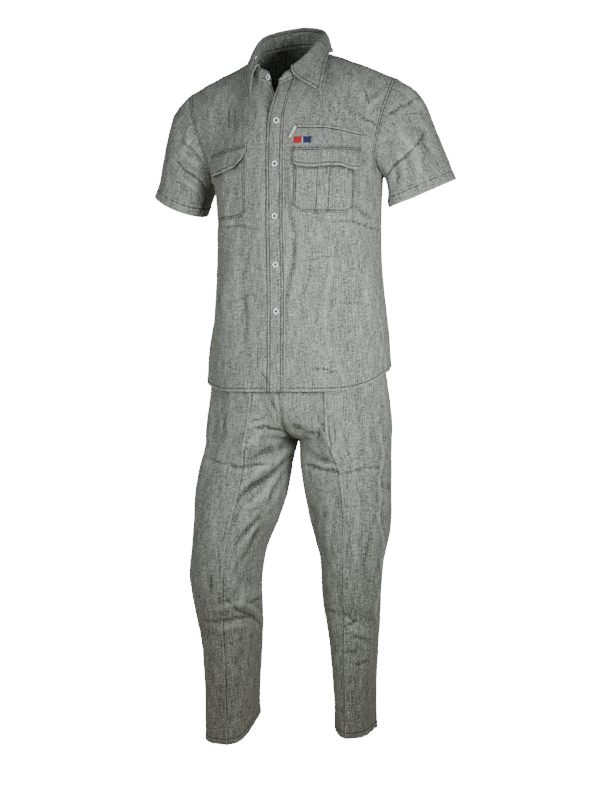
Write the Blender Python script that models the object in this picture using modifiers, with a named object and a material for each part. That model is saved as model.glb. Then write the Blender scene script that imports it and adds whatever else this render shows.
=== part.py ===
"""A work suit: a short-sleeved shirt over long trousers, in the hollow form it has when worn.

Metres, +Z up, the front of the suit towards -Y and the wearer's left towards +X.
The origin is in the middle of the neck opening, level with the neck ends of the shoulder seams.
Every cloth piece is an open surface through sections, thickened by a Solidify modifier.
"""

import math

import bmesh
import bpy
import numpy as np
from mathutils import Matrix, Vector
from mathutils.bvhtree import BVHTree

# Cloth and seams
CLOTH = 0.0013          # wall of one layer of the washed cotton
SEAM = 0.0009           # distance between the middle surfaces of two panels at a flat seam
UNDERLAP = 0.0026       # how far the right front lies behind the left front
LAYER = 0.0021          # from the middle of one layer to the middle of the layer sewn onto it
COLLAR_CLEAR = 0.0035

# Shirt
HEM_Z = -0.712
ARMPIT_Z = -0.268
SIDE_SEAM_DEG = 95      # from centre front round to the side seam
HEM_RISE = {"left": 0.055, "right": 0.043}
HEM_RISE_START_DEG = 15
HEM_RISE_FADE = 0.22    # the height over which the rows of cloth become level again
BACK_HEM_DROP = 0.008
PLACKET = 0.036         # width of the front band, its middle on centre front
OPEN_FROM_Z = -0.158    # the fronts are open above this height
OPEN_LEFT = 0.012       # how far the neck end of the left front has moved
OPEN_RIGHT = -0.045
LAPEL_ROLL = 0.008      # how far the open left edge rolls forward
LAPEL_WIDTH = 0.075
NECK_SHARE = {"front": 5 / 12, "back": 4 / 9}  # share of a panel's top edge that is neckline
SCOOP = {"front": 0.20, "back": 0.29}  # how far the armhole cuts into the panel just above the armpit

# The shirt's body from the hem to the armpits
SHIRT_SECTIONS = (
    # z, centre_x, half_width, front, back
    (-0.712, 0.006, 0.197, 0.136, 0.144),
    (-0.620, 0.006, 0.191, 0.135, 0.138),
    (-0.530, 0.006, 0.184, 0.134, 0.125),
    (-0.440, 0.005, 0.178, 0.136, 0.117),
    (-0.350, 0.004, 0.178, 0.138, 0.120),
    (-0.268, 0.003, 0.184, 0.135, 0.126),
)
# The neckline when closed, from the left front end, round the back, to the right front end
NECKLINE = (
    # x, y, z
    (-0.0135, -0.096, -0.088),
    (0.034, -0.080, -0.064),
    (0.057, -0.048, -0.029),
    (0.062, -0.006, -0.003),
    (0.046, 0.036, 0.015),
    (-0.006, 0.056, 0.026),
    (-0.062, 0.036, 0.016),
    (-0.077, -0.006, -0.002),
    (-0.073, -0.050, -0.034),
    (-0.058, -0.082, -0.067),
    (0.0225, -0.096, -0.084),
)
SHOULDER_NECK = {"left": 3.0, "right": 7.0}
SHOULDER_MOVE = {"left": (-0.006, 0.0, 0.0), "right": (-0.006, 0.0, -0.004)}
ARMHOLE = (
    # x, y, z from the armpit by the front up to the shoulder tip, and by the back down again
    (0.189, 0.012, -0.268),
    (0.185, -0.032, -0.242),
    (0.198, -0.046, -0.187),
    (0.217, -0.044, -0.125),
    (0.231, -0.010, -0.072),
    (0.214, 0.058, -0.125),
    (0.194, 0.080, -0.190),
    (0.184, 0.062, -0.244),
)
# Directions of the cloth in the upper body: at the armpit level, at the neck, at the shoulder seam
DRAPE = {
    # up and back, as y and z; longer is fuller
    "front": ((0.00, 1.00), (0.60, 0.80), (1.00, 0.15)),
    "back": ((0.08, 1.15), (-0.55, 0.80), (-1.35, 0.15)),
}

# Sleeves
SLEEVE_OUTER = {"left": (0.341, 0.036, -0.276), "right": (0.319, 0.034, -0.275)}
SLEEVE_INNER = (0.208, 0.004, -0.332)
SLEEVE_HALF_DEPTH = 0.056
SLEEVE_FRONT_DROP = 0.009
SLEEVE_GAP = 0.0019     # from the armhole's edge to the sleeve's edge

# Collar
STAND_GAP = 0.0015      # from the neckline up to the middle of the stand's lower edge
STAND_HEIGHTS = (
    # place along the neckline, height, lean inwards
    (0.0, 0.021, 0.02),
    (0.6, 0.023, 0.05),
    (2.0, 0.027, 0.12),
    (3.0, 0.029, 0.15),
    (5.0, 0.034, 0.10),
    (7.0, 0.031, 0.15),
    (8.0, 0.029, 0.12),
    (9.4, 0.025, 0.05),
    (10.0, 0.022, 0.02),
)
FALL_FROM, FALL_TO = 0.60, 9.10
FALL_EDGE = (
    # place along the neckline, x, y, z of the collar's outer edge
    (0.60, 0.088, -0.108, -0.106),
    (1.20, 0.088, -0.088, -0.074),
    (2.00, 0.083, -0.054, -0.036),
    (3.00, 0.077, -0.006, -0.003),
    (4.00, 0.060, 0.050, 0.007),
    (5.00, -0.006, 0.084, 0.020),
    (6.00, -0.076, 0.050, 0.008),
    (7.00, -0.096, -0.006, -0.004),
    (8.00, -0.091, -0.056, -0.042),
    (8.70, -0.078, -0.088, -0.082),
    (9.10, -0.064, -0.106, -0.107),
)

# Pieces on the chest, placed by the distance along the cloth from centre front, and by height
ZIP = {"from": 0.0430, "to": 0.180, "z": -0.180, "drop": 0.011, "width": 0.009}
LABEL = {"from": 0.0380, "to": 0.0725, "top": -0.1985, "height": 0.0125}
PULL_EYE = 0.0013
PULL_LEAN_DEG = 27      # how far the pull hangs off the vertical, towards the front band
PULL_OUTLINE = (
    # right half of the pull tab, from its top down, measured from its eye
    (0.0, 0.0026), (0.0016, 0.0021), (0.0026, 0.0), (0.0020, -0.0040), (0.0019, -0.0120), (0.0019, -0.0190),
    (0.0016, -0.0240), (0.0, -0.0250),
)
FLAPS = {
    # side: inner end, outer end, height of the top edge at each
    "left": (0.034, 0.184, -0.219, -0.217),
    "right": (0.066, 0.196, -0.208, -0.214),
}
FLAP_DROPS = {
    # share of the way out, how far the lower edge hangs below the top edge
    "left": ((0.0, 0.026), (0.05, 0.036), (0.15, 0.041), (0.5, 0.0400), (0.64, 0.0405), (0.80, 0.046),
             (0.93, 0.043), (1.0, 0.032)),
    "right": ((0.0, 0.010), (0.04, 0.025), (0.12, 0.0365), (0.35, 0.0455), (0.7, 0.0500), (1.0, 0.046)),
}
POCKETS = {
    # side: inner, outer, top, bottom, corner, pleat
    "left": (0.040, 0.163, -0.236, -0.352, 0.022, 0.0045),
    "right": (0.071, 0.184, -0.228, -0.356, 0.022, 0.0),
}

# Trouser legs below the crotch; outward is away from the middle of the suit
LEGS = {
    "left": (
        # z, outward, back, half_width, half_depth, turn_deg, rise_in, rise_out
        (-1.414, 0.1205, 0.012, 0.0375, 0.089, 6, 0.035, 0.002),
        (-1.340, 0.1210, 0.008, 0.0400, 0.091, 6, 0.018, 0.000),
        (-1.246, 0.1205, 0.003, 0.0465, 0.094, 6, 0.004, 0.000),
        (-1.143, 0.1170, -0.002, 0.0580, 0.097, 8, 0.000, 0.000),
        (-1.060, 0.1185, -0.004, 0.0640, 0.102, 8, 0.000, 0.000),
        (-0.983, 0.1140, -0.002, 0.0800, 0.108, 10, 0.000, 0.000),
        (-0.905, 0.1075, 0.000, 0.0890, 0.114, 11, 0.000, 0.000),
        (-0.868, 0.1050, 0.002, 0.0925, 0.118, 9, 0.000, 0.000),
    ),
    "right": (
        (-1.445, 0.1480, 0.000, 0.0550, 0.088, -12, 0.050, -0.002),
        (-1.396, 0.1470, -0.006, 0.0560, 0.088, -12, 0.034, 0.000),
        (-1.292, 0.1405, -0.020, 0.0590, 0.090, -10, 0.010, 0.000),
        (-1.242, 0.1385, -0.028, 0.0620, 0.092, -10, 0.002, 0.000),
        (-1.168, 0.1395, -0.045, 0.0710, 0.096, -13, 0.000, 0.000),
        (-1.091, 0.1410, -0.055, 0.0760, 0.101, -17, 0.000, 0.000),
        (-1.040, 0.1370, -0.050, 0.0785, 0.105, -16, 0.000, 0.000),
        (-0.977, 0.1255, -0.040, 0.0875, 0.110, -13, 0.000, 0.000),
        (-0.929, 0.1193, -0.029, 0.0935, 0.114, -11, 0.000, 0.000),
        (-0.868, 0.1130, -0.014, 0.0965, 0.118, -7, 0.000, 0.000),
    ),
}
CREASE_IN = {"left": 0.0, "right": 0.034}  # how far in the pressed crease stands at the hip
HIP_OUT = {"left": 0.004, "right": 0.010}  # how much wider the thighs stand at the crotch
# Trousers from the crotch up to the waist
SEAT = (
    # side_z, front_y, front_z, front_deg, crease_x, crease_y, side_x, back_crease_y, back_y, back_z, back_deg
    (-0.815, 0.000, -0.808, 62, 0.102, -0.116, 0.194, 0.116, 0.000, -0.808, 62),
    (-0.792, -0.048, -0.802, 54, 0.101, -0.117, 0.194, 0.119, 0.056, -0.796, 54),
    (-0.770, -0.088, -0.784, 38, 0.100, -0.117, 0.194, 0.121, 0.100, -0.774, 38),
    (-0.742, -0.114, -0.754, 18, 0.098, -0.115, 0.193, 0.121, 0.126, -0.746, 16),
    (-0.700, -0.125, -0.706, 4, 0.0955, -0.1114, 0.189, 0.117, 0.132, -0.704, 2),
    (-0.640, -0.124, -0.642, 0, 0.088, -0.103, 0.178, 0.107, 0.122, -0.642, 0),
    (-0.545, -0.112, -0.547, 0, 0.078, -0.094, 0.162, 0.085, 0.098, -0.545, 0),
)
TROUSERS_SHIFT = 0.006
CREASE_DEG = 15         # how far each side of a pressed crease turns away
WAIST_HEIGHT = 0.036

# The largest folds, as lines seen from an angle round the suit (0 is from the front, 90 from the wearer's left)
FOLDS = (
    # panel, seen from, across and up of one end, across and up of the other, width, height
    ("front_left", 20, 0.100, -0.380, 0.112, -0.720, 0.022, -0.0045),
    ("front_left", 20, 0.140, -0.440, 0.158, -0.700, 0.022, 0.0040),
    ("front_left", 20, 0.080, -0.120, 0.150, -0.165, 0.022, -0.0030),
    ("front_right", 20, -0.118, -0.400, -0.160, -0.700, 0.022, 0.0045),
    ("front_right", 20, -0.085, -0.420, -0.118, -0.700, 0.020, -0.0035),
    ("front_right", 20, -0.150, -0.110, -0.110, -0.180, 0.022, -0.0030),
    ("back", 180, 0.150, -0.210, 0.030, -0.330, 0.026, -0.0045),
    ("back", 180, -0.140, -0.200, -0.040, -0.350, 0.026, -0.0040),
    ("back", 180, 0.090, -0.420, 0.110, -0.700, 0.026, 0.0045),
    ("back", 180, -0.070, -0.460, -0.100, -0.700, 0.026, -0.0045),
    ("leg_front_right", 20, 0.000, -0.838, -0.130, -0.950, 0.020, -0.0050),
    ("leg_front_right", 20, -0.020, -0.872, -0.125, -1.020, 0.020, 0.0040),
    ("leg_front_right", 20, -0.035, -0.960, -0.110, -1.080, 0.020, -0.0035),
    ("leg_front_right", 20, -0.058, -1.155, -0.150, -1.192, 0.018, -0.0055),
    ("leg_front_right", 20, -0.062, -1.110, -0.130, -1.150, 0.020, 0.0045),
    ("leg_front_left", 20, 0.060, -1.150, 0.170, -1.180, 0.020, -0.0050),
    ("leg_front_left", 20, 0.020, -0.850, 0.130, -0.880, 0.022, -0.0030),
    ("leg_back_left", 180, -0.030, -0.850, -0.150, -0.880, 0.026, -0.0060),
    ("leg_back_left", 180, -0.080, -1.130, -0.170, -1.110, 0.022, -0.0055),
    ("leg_back_left", 180, -0.080, -1.180, -0.170, -1.200, 0.022, 0.0045),
    ("leg_back_right", 180, 0.030, -0.850, 0.160, -0.890, 0.026, -0.0060),
    ("leg_back_right", 180, 0.080, -1.130, 0.190, -1.110, 0.022, -0.0070),
    ("leg_back_right", 180, 0.080, -1.185, 0.190, -1.205, 0.022, 0.0055),
)

# Buttons
BUTTON_RADIUS = 0.0060
BUTTON_THICK = 0.0026
BUTTON_Z = (-0.1645, -0.252, -0.358, -0.456, -0.550)

# Grid sizes
FRONT_COLUMNS, BACK_COLUMNS, SLEEVE_COLUMNS, LEG_COLUMNS = 12, 18, 20, 8
BODY_ROWS_LOW, BODY_ROWS_HIGH, SLEEVE_ROWS = 12, 10, 7
LEG_ROWS, SEAT_ROWS = 20, 10


# Curves

def smooth(table, at):
    """A table's columns at the places `at` of its first column, on a smooth curve through its rows."""
    rows = np.array(table, float)
    rows = rows[np.argsort(rows[:, 0])]
    x, values = rows[:, 0], rows[:, 1:]
    slope = np.gradient(values, x, axis=0)
    at = np.clip(np.asarray(at, float), x[0], x[-1])
    i = np.clip(np.searchsorted(x, at, side="right") - 1, 0, len(x) - 2)
    h = (x[i + 1] - x[i])[..., None]
    t = (at - x[i])[..., None] / h
    return (
        values[i] * (2 * t**3 - 3 * t**2 + 1)
        + slope[i] * h * (t**3 - 2 * t**2 + t)
        + values[i + 1] * (3 * t**2 - 2 * t**3)
        + slope[i + 1] * h * (t**3 - t**2)
    )


def curve(points, at):
    """A smooth curve through points, at the places `at` counted from the first point."""
    return smooth([(i, *p) for i, p in enumerate(points)], at)


def hermite(p0, d0, p1, d1, t):
    """From p0, leaving along d0, to p1, arriving along d1."""
    t = np.asarray(t, float)[..., None]
    return (
        p0 * (2 * t**3 - 3 * t**2 + 1)
        + d0 * (t**3 - 2 * t**2 + t)
        + p1 * (3 * t**2 - 2 * t**3)
        + d1 * (t**3 - t**2)
    )


def ease(t):
    t = np.clip(t, 0, 1)
    return t * t * (3 - 2 * t)


def vec(*parts):
    return np.stack(np.broadcast_arrays(*parts), axis=-1).astype(float)


def length(v):
    return np.linalg.norm(v, axis=-1)[..., None]


def unit(v):
    return v / np.maximum(length(v), 1e-9)


def sign_of(side):
    return 1 if side == "left" else -1


def on_side(points, side):
    """Points made for the wearer's left, on the side asked for."""
    return np.asarray(points, float) * np.array([sign_of(side), 1, 1])


def grid(columns, rows):
    """Values from 0 to 1 across and up a panel."""
    return np.meshgrid(np.linspace(0, 1, columns + 1), np.linspace(0, 1, rows + 1))


# The shirt's body

def shirt_ring(phi, z):
    """The shirt at phi degrees from centre front towards the wearer's left, in the row of height z."""
    section = smooth(SHIRT_SECTIONS, z)
    centre, half, front, back = (section[..., i] for i in range(4))
    turn = np.radians(phi)
    rise = np.where(phi > 0, HEM_RISE["left"], HEM_RISE["right"])
    lift = rise * np.sin(np.radians(np.clip(np.abs(phi) - HEM_RISE_START_DEG, 0, 180))) ** 4
    drop = BACK_HEM_DROP * np.clip(-np.cos(turn), 0, 1)
    fade = 1 - ease((z - HEM_Z) / HEM_RISE_FADE)
    depth = np.where(np.cos(turn) > 0, front, back)
    return vec(centre + half * np.sin(turn), -depth * np.cos(turn), z + (lift - drop) * fade)


def tip(side):
    return on_side(ARMHOLE[4], side) + np.array(SHOULDER_MOVE[side])


def armhole(where, t):
    """The armhole's edge on the wearer's left, from the armpit (0) to the shoulder tip (1)."""
    place = 4 * np.asarray(t, float) if where == "front" else 8 - 4 * np.asarray(t, float)
    return smooth([(i, *ARMHOLE[i % 8]) for i in range(-2, 11)], place)


def neckline(place):
    return curve(NECKLINE, place)


def top_edge(side, where, u):
    """Neckline and shoulder seam, for u from the middle of the body (0) to the shoulder tip (1)."""
    start = {"back": 5.0, "front": 0.0 if side == "left" else 10.0}[where]
    end = SHOULDER_NECK[side]
    neck = NECK_SHARE[where]
    round_neck = neckline(start + (end - start) * np.clip(u / neck, 0, 1))
    share = np.clip((u - neck) / (1 - neck), 0, 1)[..., None]
    return round_neck + (tip(side) - neckline(end)) * share


def spread(side, where, points):
    """The open neck: the fronts move apart above the first button, and the left edge rolls."""
    if where == "back":
        return points
    x, z = points[..., 0], points[..., 2]
    top = -0.088 if side == "left" else -0.082
    open_ = np.clip((z - OPEN_FROM_Z) / (top - OPEN_FROM_Z), 0, 1.2)
    edge = -0.0135 if side == "left" else 0.0225
    near = np.clip(1 - np.abs(x - edge) / LAPEL_WIDTH, 0, 1) ** 1.5
    move = OPEN_LEFT if side == "left" else OPEN_RIGHT
    fade = 1 - ease((z - top) / 0.03)
    out = points.copy()
    out[..., 0] += move * open_ * near * fade
    if side == "left":
        out[..., 1] -= LAPEL_ROLL * open_ * near**2 * fade
    return out


def body(side, where, u, v):
    """A shirt panel's middle surface. u runs from the middle to the side seam and armhole,
    v from the hem (0) through the armpit (1) to the neck and shoulder (2)."""
    u, v = np.broadcast_arrays(np.asarray(u, float), np.asarray(v, float))
    sign = sign_of(side)
    z = HEM_Z + (ARMPIT_Z - HEM_Z) * np.clip(v, 0, 1)

    def ring(z, u):
        if where == "back":
            return shirt_ring(sign * (180 + (SIDE_SEAM_DEG - 180) * u), z)
        section = smooth(SHIRT_SECTIONS, z)
        start = -np.degrees(np.arcsin(PLACKET / 2 / section[..., 1]))
        return shirt_ring(sign * (start + (SIDE_SEAM_DEG - start) * u), z)

    low = ring(z, u)
    t = np.clip(v - 1, 0, 1)
    (leave_y, leave_z), (neck_y, neck_z), (seam_y, seam_z) = DRAPE[where]

    def rise(u):
        base = ring(np.full(np.shape(u), ARMPIT_Z), u)
        top = top_edge(side, where, u)
        span = length(top - base)
        at_neck = 1 - ease(u / NECK_SHARE[where] / 1.9)[..., None]
        arrive = at_neck * np.array([0, neck_y, neck_z]) + (1 - at_neck) * np.array([0, seam_y, seam_z])
        return hermite(base, np.array([0, leave_y, leave_z]) * span, top, arrive * span, t)

    end = 1 - SCOOP[where] * ease(t / 0.28) * (1 - ease((t - 0.35) / 0.65))
    hole = on_side(armhole(where, t), side) + t[..., None] * np.array(SHOULDER_MOVE[side])
    high = rise(u * end) + (hole - rise(end)) * (u**3)[..., None]
    points = np.where((v > 1)[..., None], high, low)
    if where == "front" and side == "right":
        across = points[..., 0] - smooth(SHIRT_SECTIONS, z)[..., 0]
        behind = (UNDERLAP + 0.003 * ease(t / 0.5)) * ease((across + PLACKET / 2 + 0.014) / 0.014)
        points = points + vec(0, behind, 0)
    return spread(side, where, points)


def normals(points, outward):
    """The direction across each place of a grid of points, on the side where `outward` lies."""
    du, dv = np.gradient(points, axis=1), np.gradient(points, axis=0)
    n = unit(np.cross(du, dv))
    flip = np.sign(np.sum(n * np.asarray(outward, float), axis=-1))[..., None]
    return n * np.where(flip == 0, 1, flip)


def folded(name, points, u, outward):
    """A panel's points with its folds, which fade towards the panel's sides."""
    directions = normals(points, outward)
    height = np.zeros(points.shape[:2])
    for panel, seen_from, x0, z0, x1, z1, width, rise in FOLDS:
        if panel != name:
            continue
        a = math.radians(seen_from)
        right, towards = np.array([math.cos(a), math.sin(a), 0]), np.array([math.sin(a), -math.cos(a), 0])
        place = vec(points @ right, points[..., 2])
        start, end = np.array([x0, z0]), np.array([x1, z1])
        share = np.clip(((place - start) @ (end - start)) / ((end - start) @ (end - start)), 0, 1)
        away = np.linalg.norm(place - start - share[..., None] * (end - start), axis=-1)
        facing = np.clip(3 * (directions @ towards), 0, 1)
        height += rise * np.exp(-((away / width) ** 2)) * facing * (0.4 + 0.6 * np.sin(np.pi * share))
    sides = ease(np.minimum(u, 1 - u) / 0.12)
    return points + directions * (height * sides)[..., None]


def body_grid(side, where, columns, low, high):
    """A panel's points on a grid, its edges drawn in for the seams."""
    v = np.concatenate([np.linspace(0, 1, low + 1), 1 + np.linspace(0, 1, high + 1)[1:]])
    u, v = np.meshgrid(np.linspace(0, 1, columns + 1), v)
    points = body(side, where, u, v)
    name = f"front_{side}" if where == "front" else "back"
    beyond = u if where == "front" else 0.5 + u / 2
    points = folded(name, points, beyond, points * np.array([1, 1, 0]))
    return trim(points, right=SEAM / 2, top=SEAM / 2)


def trim(points, left=0.0, right=0.0, bottom=0.0, top=0.0):
    """A grid of points with its edges drawn back into the panel."""
    out = points.copy()
    for amount, edge, inner in (
        (left, np.s_[:, 0], np.s_[:, 1]),
        (right, np.s_[:, -1], np.s_[:, -2]),
        (bottom, np.s_[0, :], np.s_[1, :]),
        (top, np.s_[-1, :], np.s_[-2, :]),
    ):
        if np.any(amount):
            out[edge] = out[edge] + unit(out[inner] - out[edge]) * amount
    return out


# Sleeves

def sleeve(side, around, down):
    """A sleeve's tube: around from the shoulder (0) by the front (0.25) and armpit (0.5) to the back (0.75),
    down from the armhole (0) to the hem (1)."""
    around, down = np.broadcast_arrays(np.asarray(around, float), np.asarray(down, float))
    t = around % 1.0
    up = np.where(t <= 0.5, 1 - 2 * t, 2 * t - 1)
    start = np.where((t <= 0.5)[..., None], armhole("front", up), armhole("back", up))
    outer, inner = np.array(SLEEVE_OUTER[side]), np.array(SLEEVE_INNER)
    centre, long_axis = (outer + inner) / 2, (outer - inner) / 2
    hang = centre - np.array([0.200, 0.006, -0.165])
    forward = unit(np.cross(long_axis, hang)) * SLEEVE_HALF_DEPTH
    forward = forward * -np.sign(forward[1]) - np.array([0, 0, SLEEVE_FRONT_DROP])
    turn = (2 * np.pi * t)[..., None]
    end = centre + long_axis * np.cos(turn) + forward * np.sin(turn)
    axis = unit(hang)
    top = (0.5 + 0.5 * np.cos(turn)) ** 1.5
    leave = unit(top * np.array([0.88, 0.05, -0.47]) + (1 - top) * np.array([0.76, 0.05, -0.65]))
    arrive = unit(axis + 0.12 * (0.5 - 0.5 * np.cos(turn)) * np.array([-1, 0, 0]))
    span = length(end - start)
    start = start + leave * SLEEVE_GAP
    points = hermite(start, leave * span * 1.05, end, arrive * span * 0.95, down)
    move = (up + (1 - up) * ease(down))[..., None]
    return on_side(points, side) + move * np.array(SHOULDER_MOVE[side])


# The collar

def neck_place(place):
    """The neckline with the neck open."""
    p = neckline(place)
    left = spread("left", "front", p)
    right = spread("right", "front", p)
    return np.where((np.asarray(place) < 4)[..., None], left, np.where((np.asarray(place) > 6)[..., None], right, p))


def stand(place, up):
    place, up = np.broadcast_arrays(np.asarray(place, float), np.asarray(up, float))
    row = smooth(STAND_HEIGHTS, place)
    height, lean = row[..., 0], row[..., 1]
    base = neck_place(place)
    ends = np.minimum(place, 10 - place)
    height = height * (0.62 + 0.38 * ease(ends / 0.35))
    inward = unit(np.array([0, -0.01, 0]) - base * np.array([1, 1, 0]))
    return base + vec(0, 0, STAND_GAP + (height - STAND_GAP) * up) + inward * (lean * height * up)[..., None]


def fall(place, out):
    """The turned-down collar, from the top of the stand (0) to its outer edge (1)."""
    place, out = np.broadcast_arrays(np.asarray(place, float), np.asarray(out, float))
    top = stand(place, 1.0)
    outward = unit((top - np.array([0, -0.01, 0])) * np.array([1, 1, 0]))
    start = top + vec(0, 0, SEAM + 0.0008) + outward * 0.0002
    edge = smooth(FALL_EDGE, place)
    over = start + outward * 0.0075 + vec(0, 0, 0.0005)
    roll = 0.16
    first = hermite(start, vec(0, 0, 0.020) + outward * 0.002, over, vec(0, 0, -0.014) + outward * 0.010,
                    np.clip(out / roll, 0, 1))
    span = length(edge - over)
    second = hermite(over, (vec(0, 0, -0.90) + outward * 0.55) * span, edge, (edge - over) * 1.0 + outward * 0.006,
                     np.clip((out - roll) / (1 - roll), 0, 1))
    return np.where((out <= roll)[..., None], first, second)


def keep_clear(points, tree, gap):
    """Points moved away from the facets they would otherwise touch."""
    out = points.copy()
    for index in np.ndindex(points.shape[:2]):
        near, normal, _, _ = tree.find_nearest(Vector(out[index]))
        away = normal * (1 if normal.dot(near - Vector((0, -0.01, near.z - 0.2))) > 0 else -1)
        short = gap - (Vector(out[index]) - near).dot(away)
        if (Vector(out[index]) - near).length < 0.03 and short > 0:
            out[index] += np.array(away) * short
    return out


# Patches on the chest

def facets(*grids):
    """A tree of the flat faces of some grids of points."""
    corners, quads = [], []
    for points in grids:
        rows, columns = points.shape[:2]
        first = len(corners)
        corners += [Vector(p) for p in points.reshape(-1, 3)]
        quads += [
            tuple(first + i for i in (r * columns + c, r * columns + c + 1,
                                      (r + 1) * columns + c + 1, (r + 1) * columns + c))
            for r in range(rows - 1) for c in range(columns - 1)
        ]
    return BVHTree.FromPolygons(corners, quads)


def height_over(tree, place, direction):
    """How far a place is above the facets, measured along a direction."""
    start = Vector(place) + Vector(direction) * 0.03
    distance = tree.ray_cast(start, -Vector(direction), 0.06)[3]
    return None if distance is None else distance - 0.03


def lift(points, directions, tree, least):
    """Points moved out until the whole of every cell is at least a distance above the facets."""
    out = points.copy()
    rows, columns = out.shape[:2]
    for _ in range(3):
        more = np.zeros((rows, columns))
        for r in range(rows - 1):
            for c in range(columns - 1):
                for a in (0.0, 0.25, 0.5, 0.75, 1.0):
                    for b in (0.0, 0.25, 0.5, 0.75, 1.0):
                        weights = np.array([[(1 - a) * (1 - b), (1 - a) * b], [a * (1 - b), a * b]])
                        cell = np.s_[r:r + 2, c:c + 2]
                        place = np.einsum("ij,ijk->k", weights, out[cell])
                        direction = unit(np.einsum("ij,ijk->k", weights, directions[cell]))
                        high = height_over(tree, place, direction)
                        if high is not None and high < least:
                            more[cell] = np.maximum(more[cell], (least - high) * (weights > 0.1))
        if more.max() < 1e-5:
            break
        out = out + directions * more[..., None]
    return out


class Chest:
    """One front of the shirt, for laying pieces on it by distance from centre front and height."""

    def __init__(self, side, grid_points):
        self.u = np.linspace(0, 1, 61)
        u, v = np.meshgrid(self.u, np.linspace(0, 2, 241))
        self.points = body(side, "front", u, v)
        self.normals = normals(self.points, (0, -1, 0))
        self.grid = grid_points
        self.tree = facets(grid_points)

    def at(self, across, z):
        """The smooth panel's points and outward directions at distances from centre front and heights."""
        places, directions = [], []
        for a, height in zip(np.ravel(across), np.ravel(z)):
            points, normal, along = self.row(float(height))
            places.append([np.interp(a, along, points[:, i]) for i in range(3)])
            directions.append([np.interp(a, along, normal[:, i]) for i in range(3)])
        shape = (*np.shape(across), 3)
        return np.array(places).reshape(shape), unit(np.array(directions).reshape(shape))

    def row(self, z):
        columns = range(len(self.u))
        points = np.array([[np.interp(z, self.points[:, i, 2], self.points[:, i, j]) for j in range(3)]
                           for i in columns])
        normal = np.array([[np.interp(z, self.points[:, i, 2], self.normals[:, i, j]) for j in range(3)]
                           for i in columns])
        steps = np.linalg.norm(np.diff(points[:, :2], axis=0), axis=1)
        return points, normal, np.concatenate([[0], np.cumsum(steps)]) - PLACKET / 2

    def lay(self, across, z, above, tree=None, least=None):
        """Points at a height above the panel, nowhere closer than that to the facets."""
        places, directions = self.at(across, z)
        above = np.broadcast_to(above, np.shape(across))
        for index in np.ndindex(np.shape(across)):
            high = height_over(self.tree, places[index], directions[index]) or 0.0
            places[index] += directions[index] * (above[index] - high)
        if np.ndim(across) < 2:
            return places
        return lift(places, directions, tree or self.tree, above.min() if least is None else least)


def flap_points(side, chest, columns, rows, pocket):
    inner, outer, inner_top, outer_top = FLAPS[side]
    u, v = grid(columns, rows)
    height = smooth(FLAP_DROPS[side], u)[..., 0]
    over_pocket = LAYER * (1 + v) + 0.0003 + POCKETS[side][5] * ease(v / 0.6)
    tree = facets(chest.grid, pocket)
    return chest.lay(inner + (outer - inner) * u, inner_top + (outer_top - inner_top) * u - height * v,
                     over_pocket, tree, LAYER - 0.0002)


def pocket_points(side, chest, columns, rows):
    inner, outer, top, bottom, corner, pleat = POCKETS[side]
    u, v = grid(columns, rows)
    edge = np.minimum(u, 1 - u) * (outer - inner)
    low = bottom + 0.6 * corner * np.clip(1 - edge / corner, 0, 1)
    fold = pleat * np.where(np.abs(2 * u - 1) < 0.26, 1.0, 0.0)
    return chest.lay(inner + (outer - inner) * u, top + (low - top) * v, LAYER + fold, least=LAYER - 0.0002)


# Trousers

def crease_in(side, z):
    return CREASE_IN[side] * ease((z + 1.04) / 0.30) * ease((-0.56 - z) / 0.12)


def leg_rows(side):
    """The five corner points of every section of one leg, from the hem to the waist:
    inner front, front crease, side seam, back crease, inner back; and how far each row turns."""
    rows = []
    for z, outward, back, half_width, half_depth, turn, rise_in, rise_out in LEGS[side]:
        a = math.radians(turn)
        side_ways = np.array([math.cos(a), math.sin(a), 0])
        ahead = np.array([math.sin(a), -math.cos(a), 0])
        centre = np.array([outward, back, z])
        inner = centre - side_ways * half_width + [0, 0, rise_in]
        rows.append(np.concatenate([
            [z], inner, centre + ahead * half_depth - side_ways * crease_in(side, z), centre + side_ways * half_width + [0, 0, rise_out],
            centre - ahead * half_depth + [0, 0, rise_in * 0.2], inner, [90 - turn, 90 + turn, turn],
        ]))
    for (side_z, front_y, front_z, front_deg, crease_x, crease_y, side_x, back_crease, back_y, back_z,
            back_deg) in SEAT:
        rows.append(np.concatenate([
            [side_z], [0, front_y, front_z],
            [crease_x - crease_in(side, side_z), crease_y * (1 + 2.2 * crease_in(side, side_z)), (side_z + front_z) / 2],
            [side_x + HIP_OUT[side] * (1 - ease((side_z + 0.80) / 0.09)), 0.0, side_z],
            [crease_x, back_crease, (side_z + back_z) / 2], [0, back_y, back_z], [front_deg, back_deg, 0],
        ]))
    return rows


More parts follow.
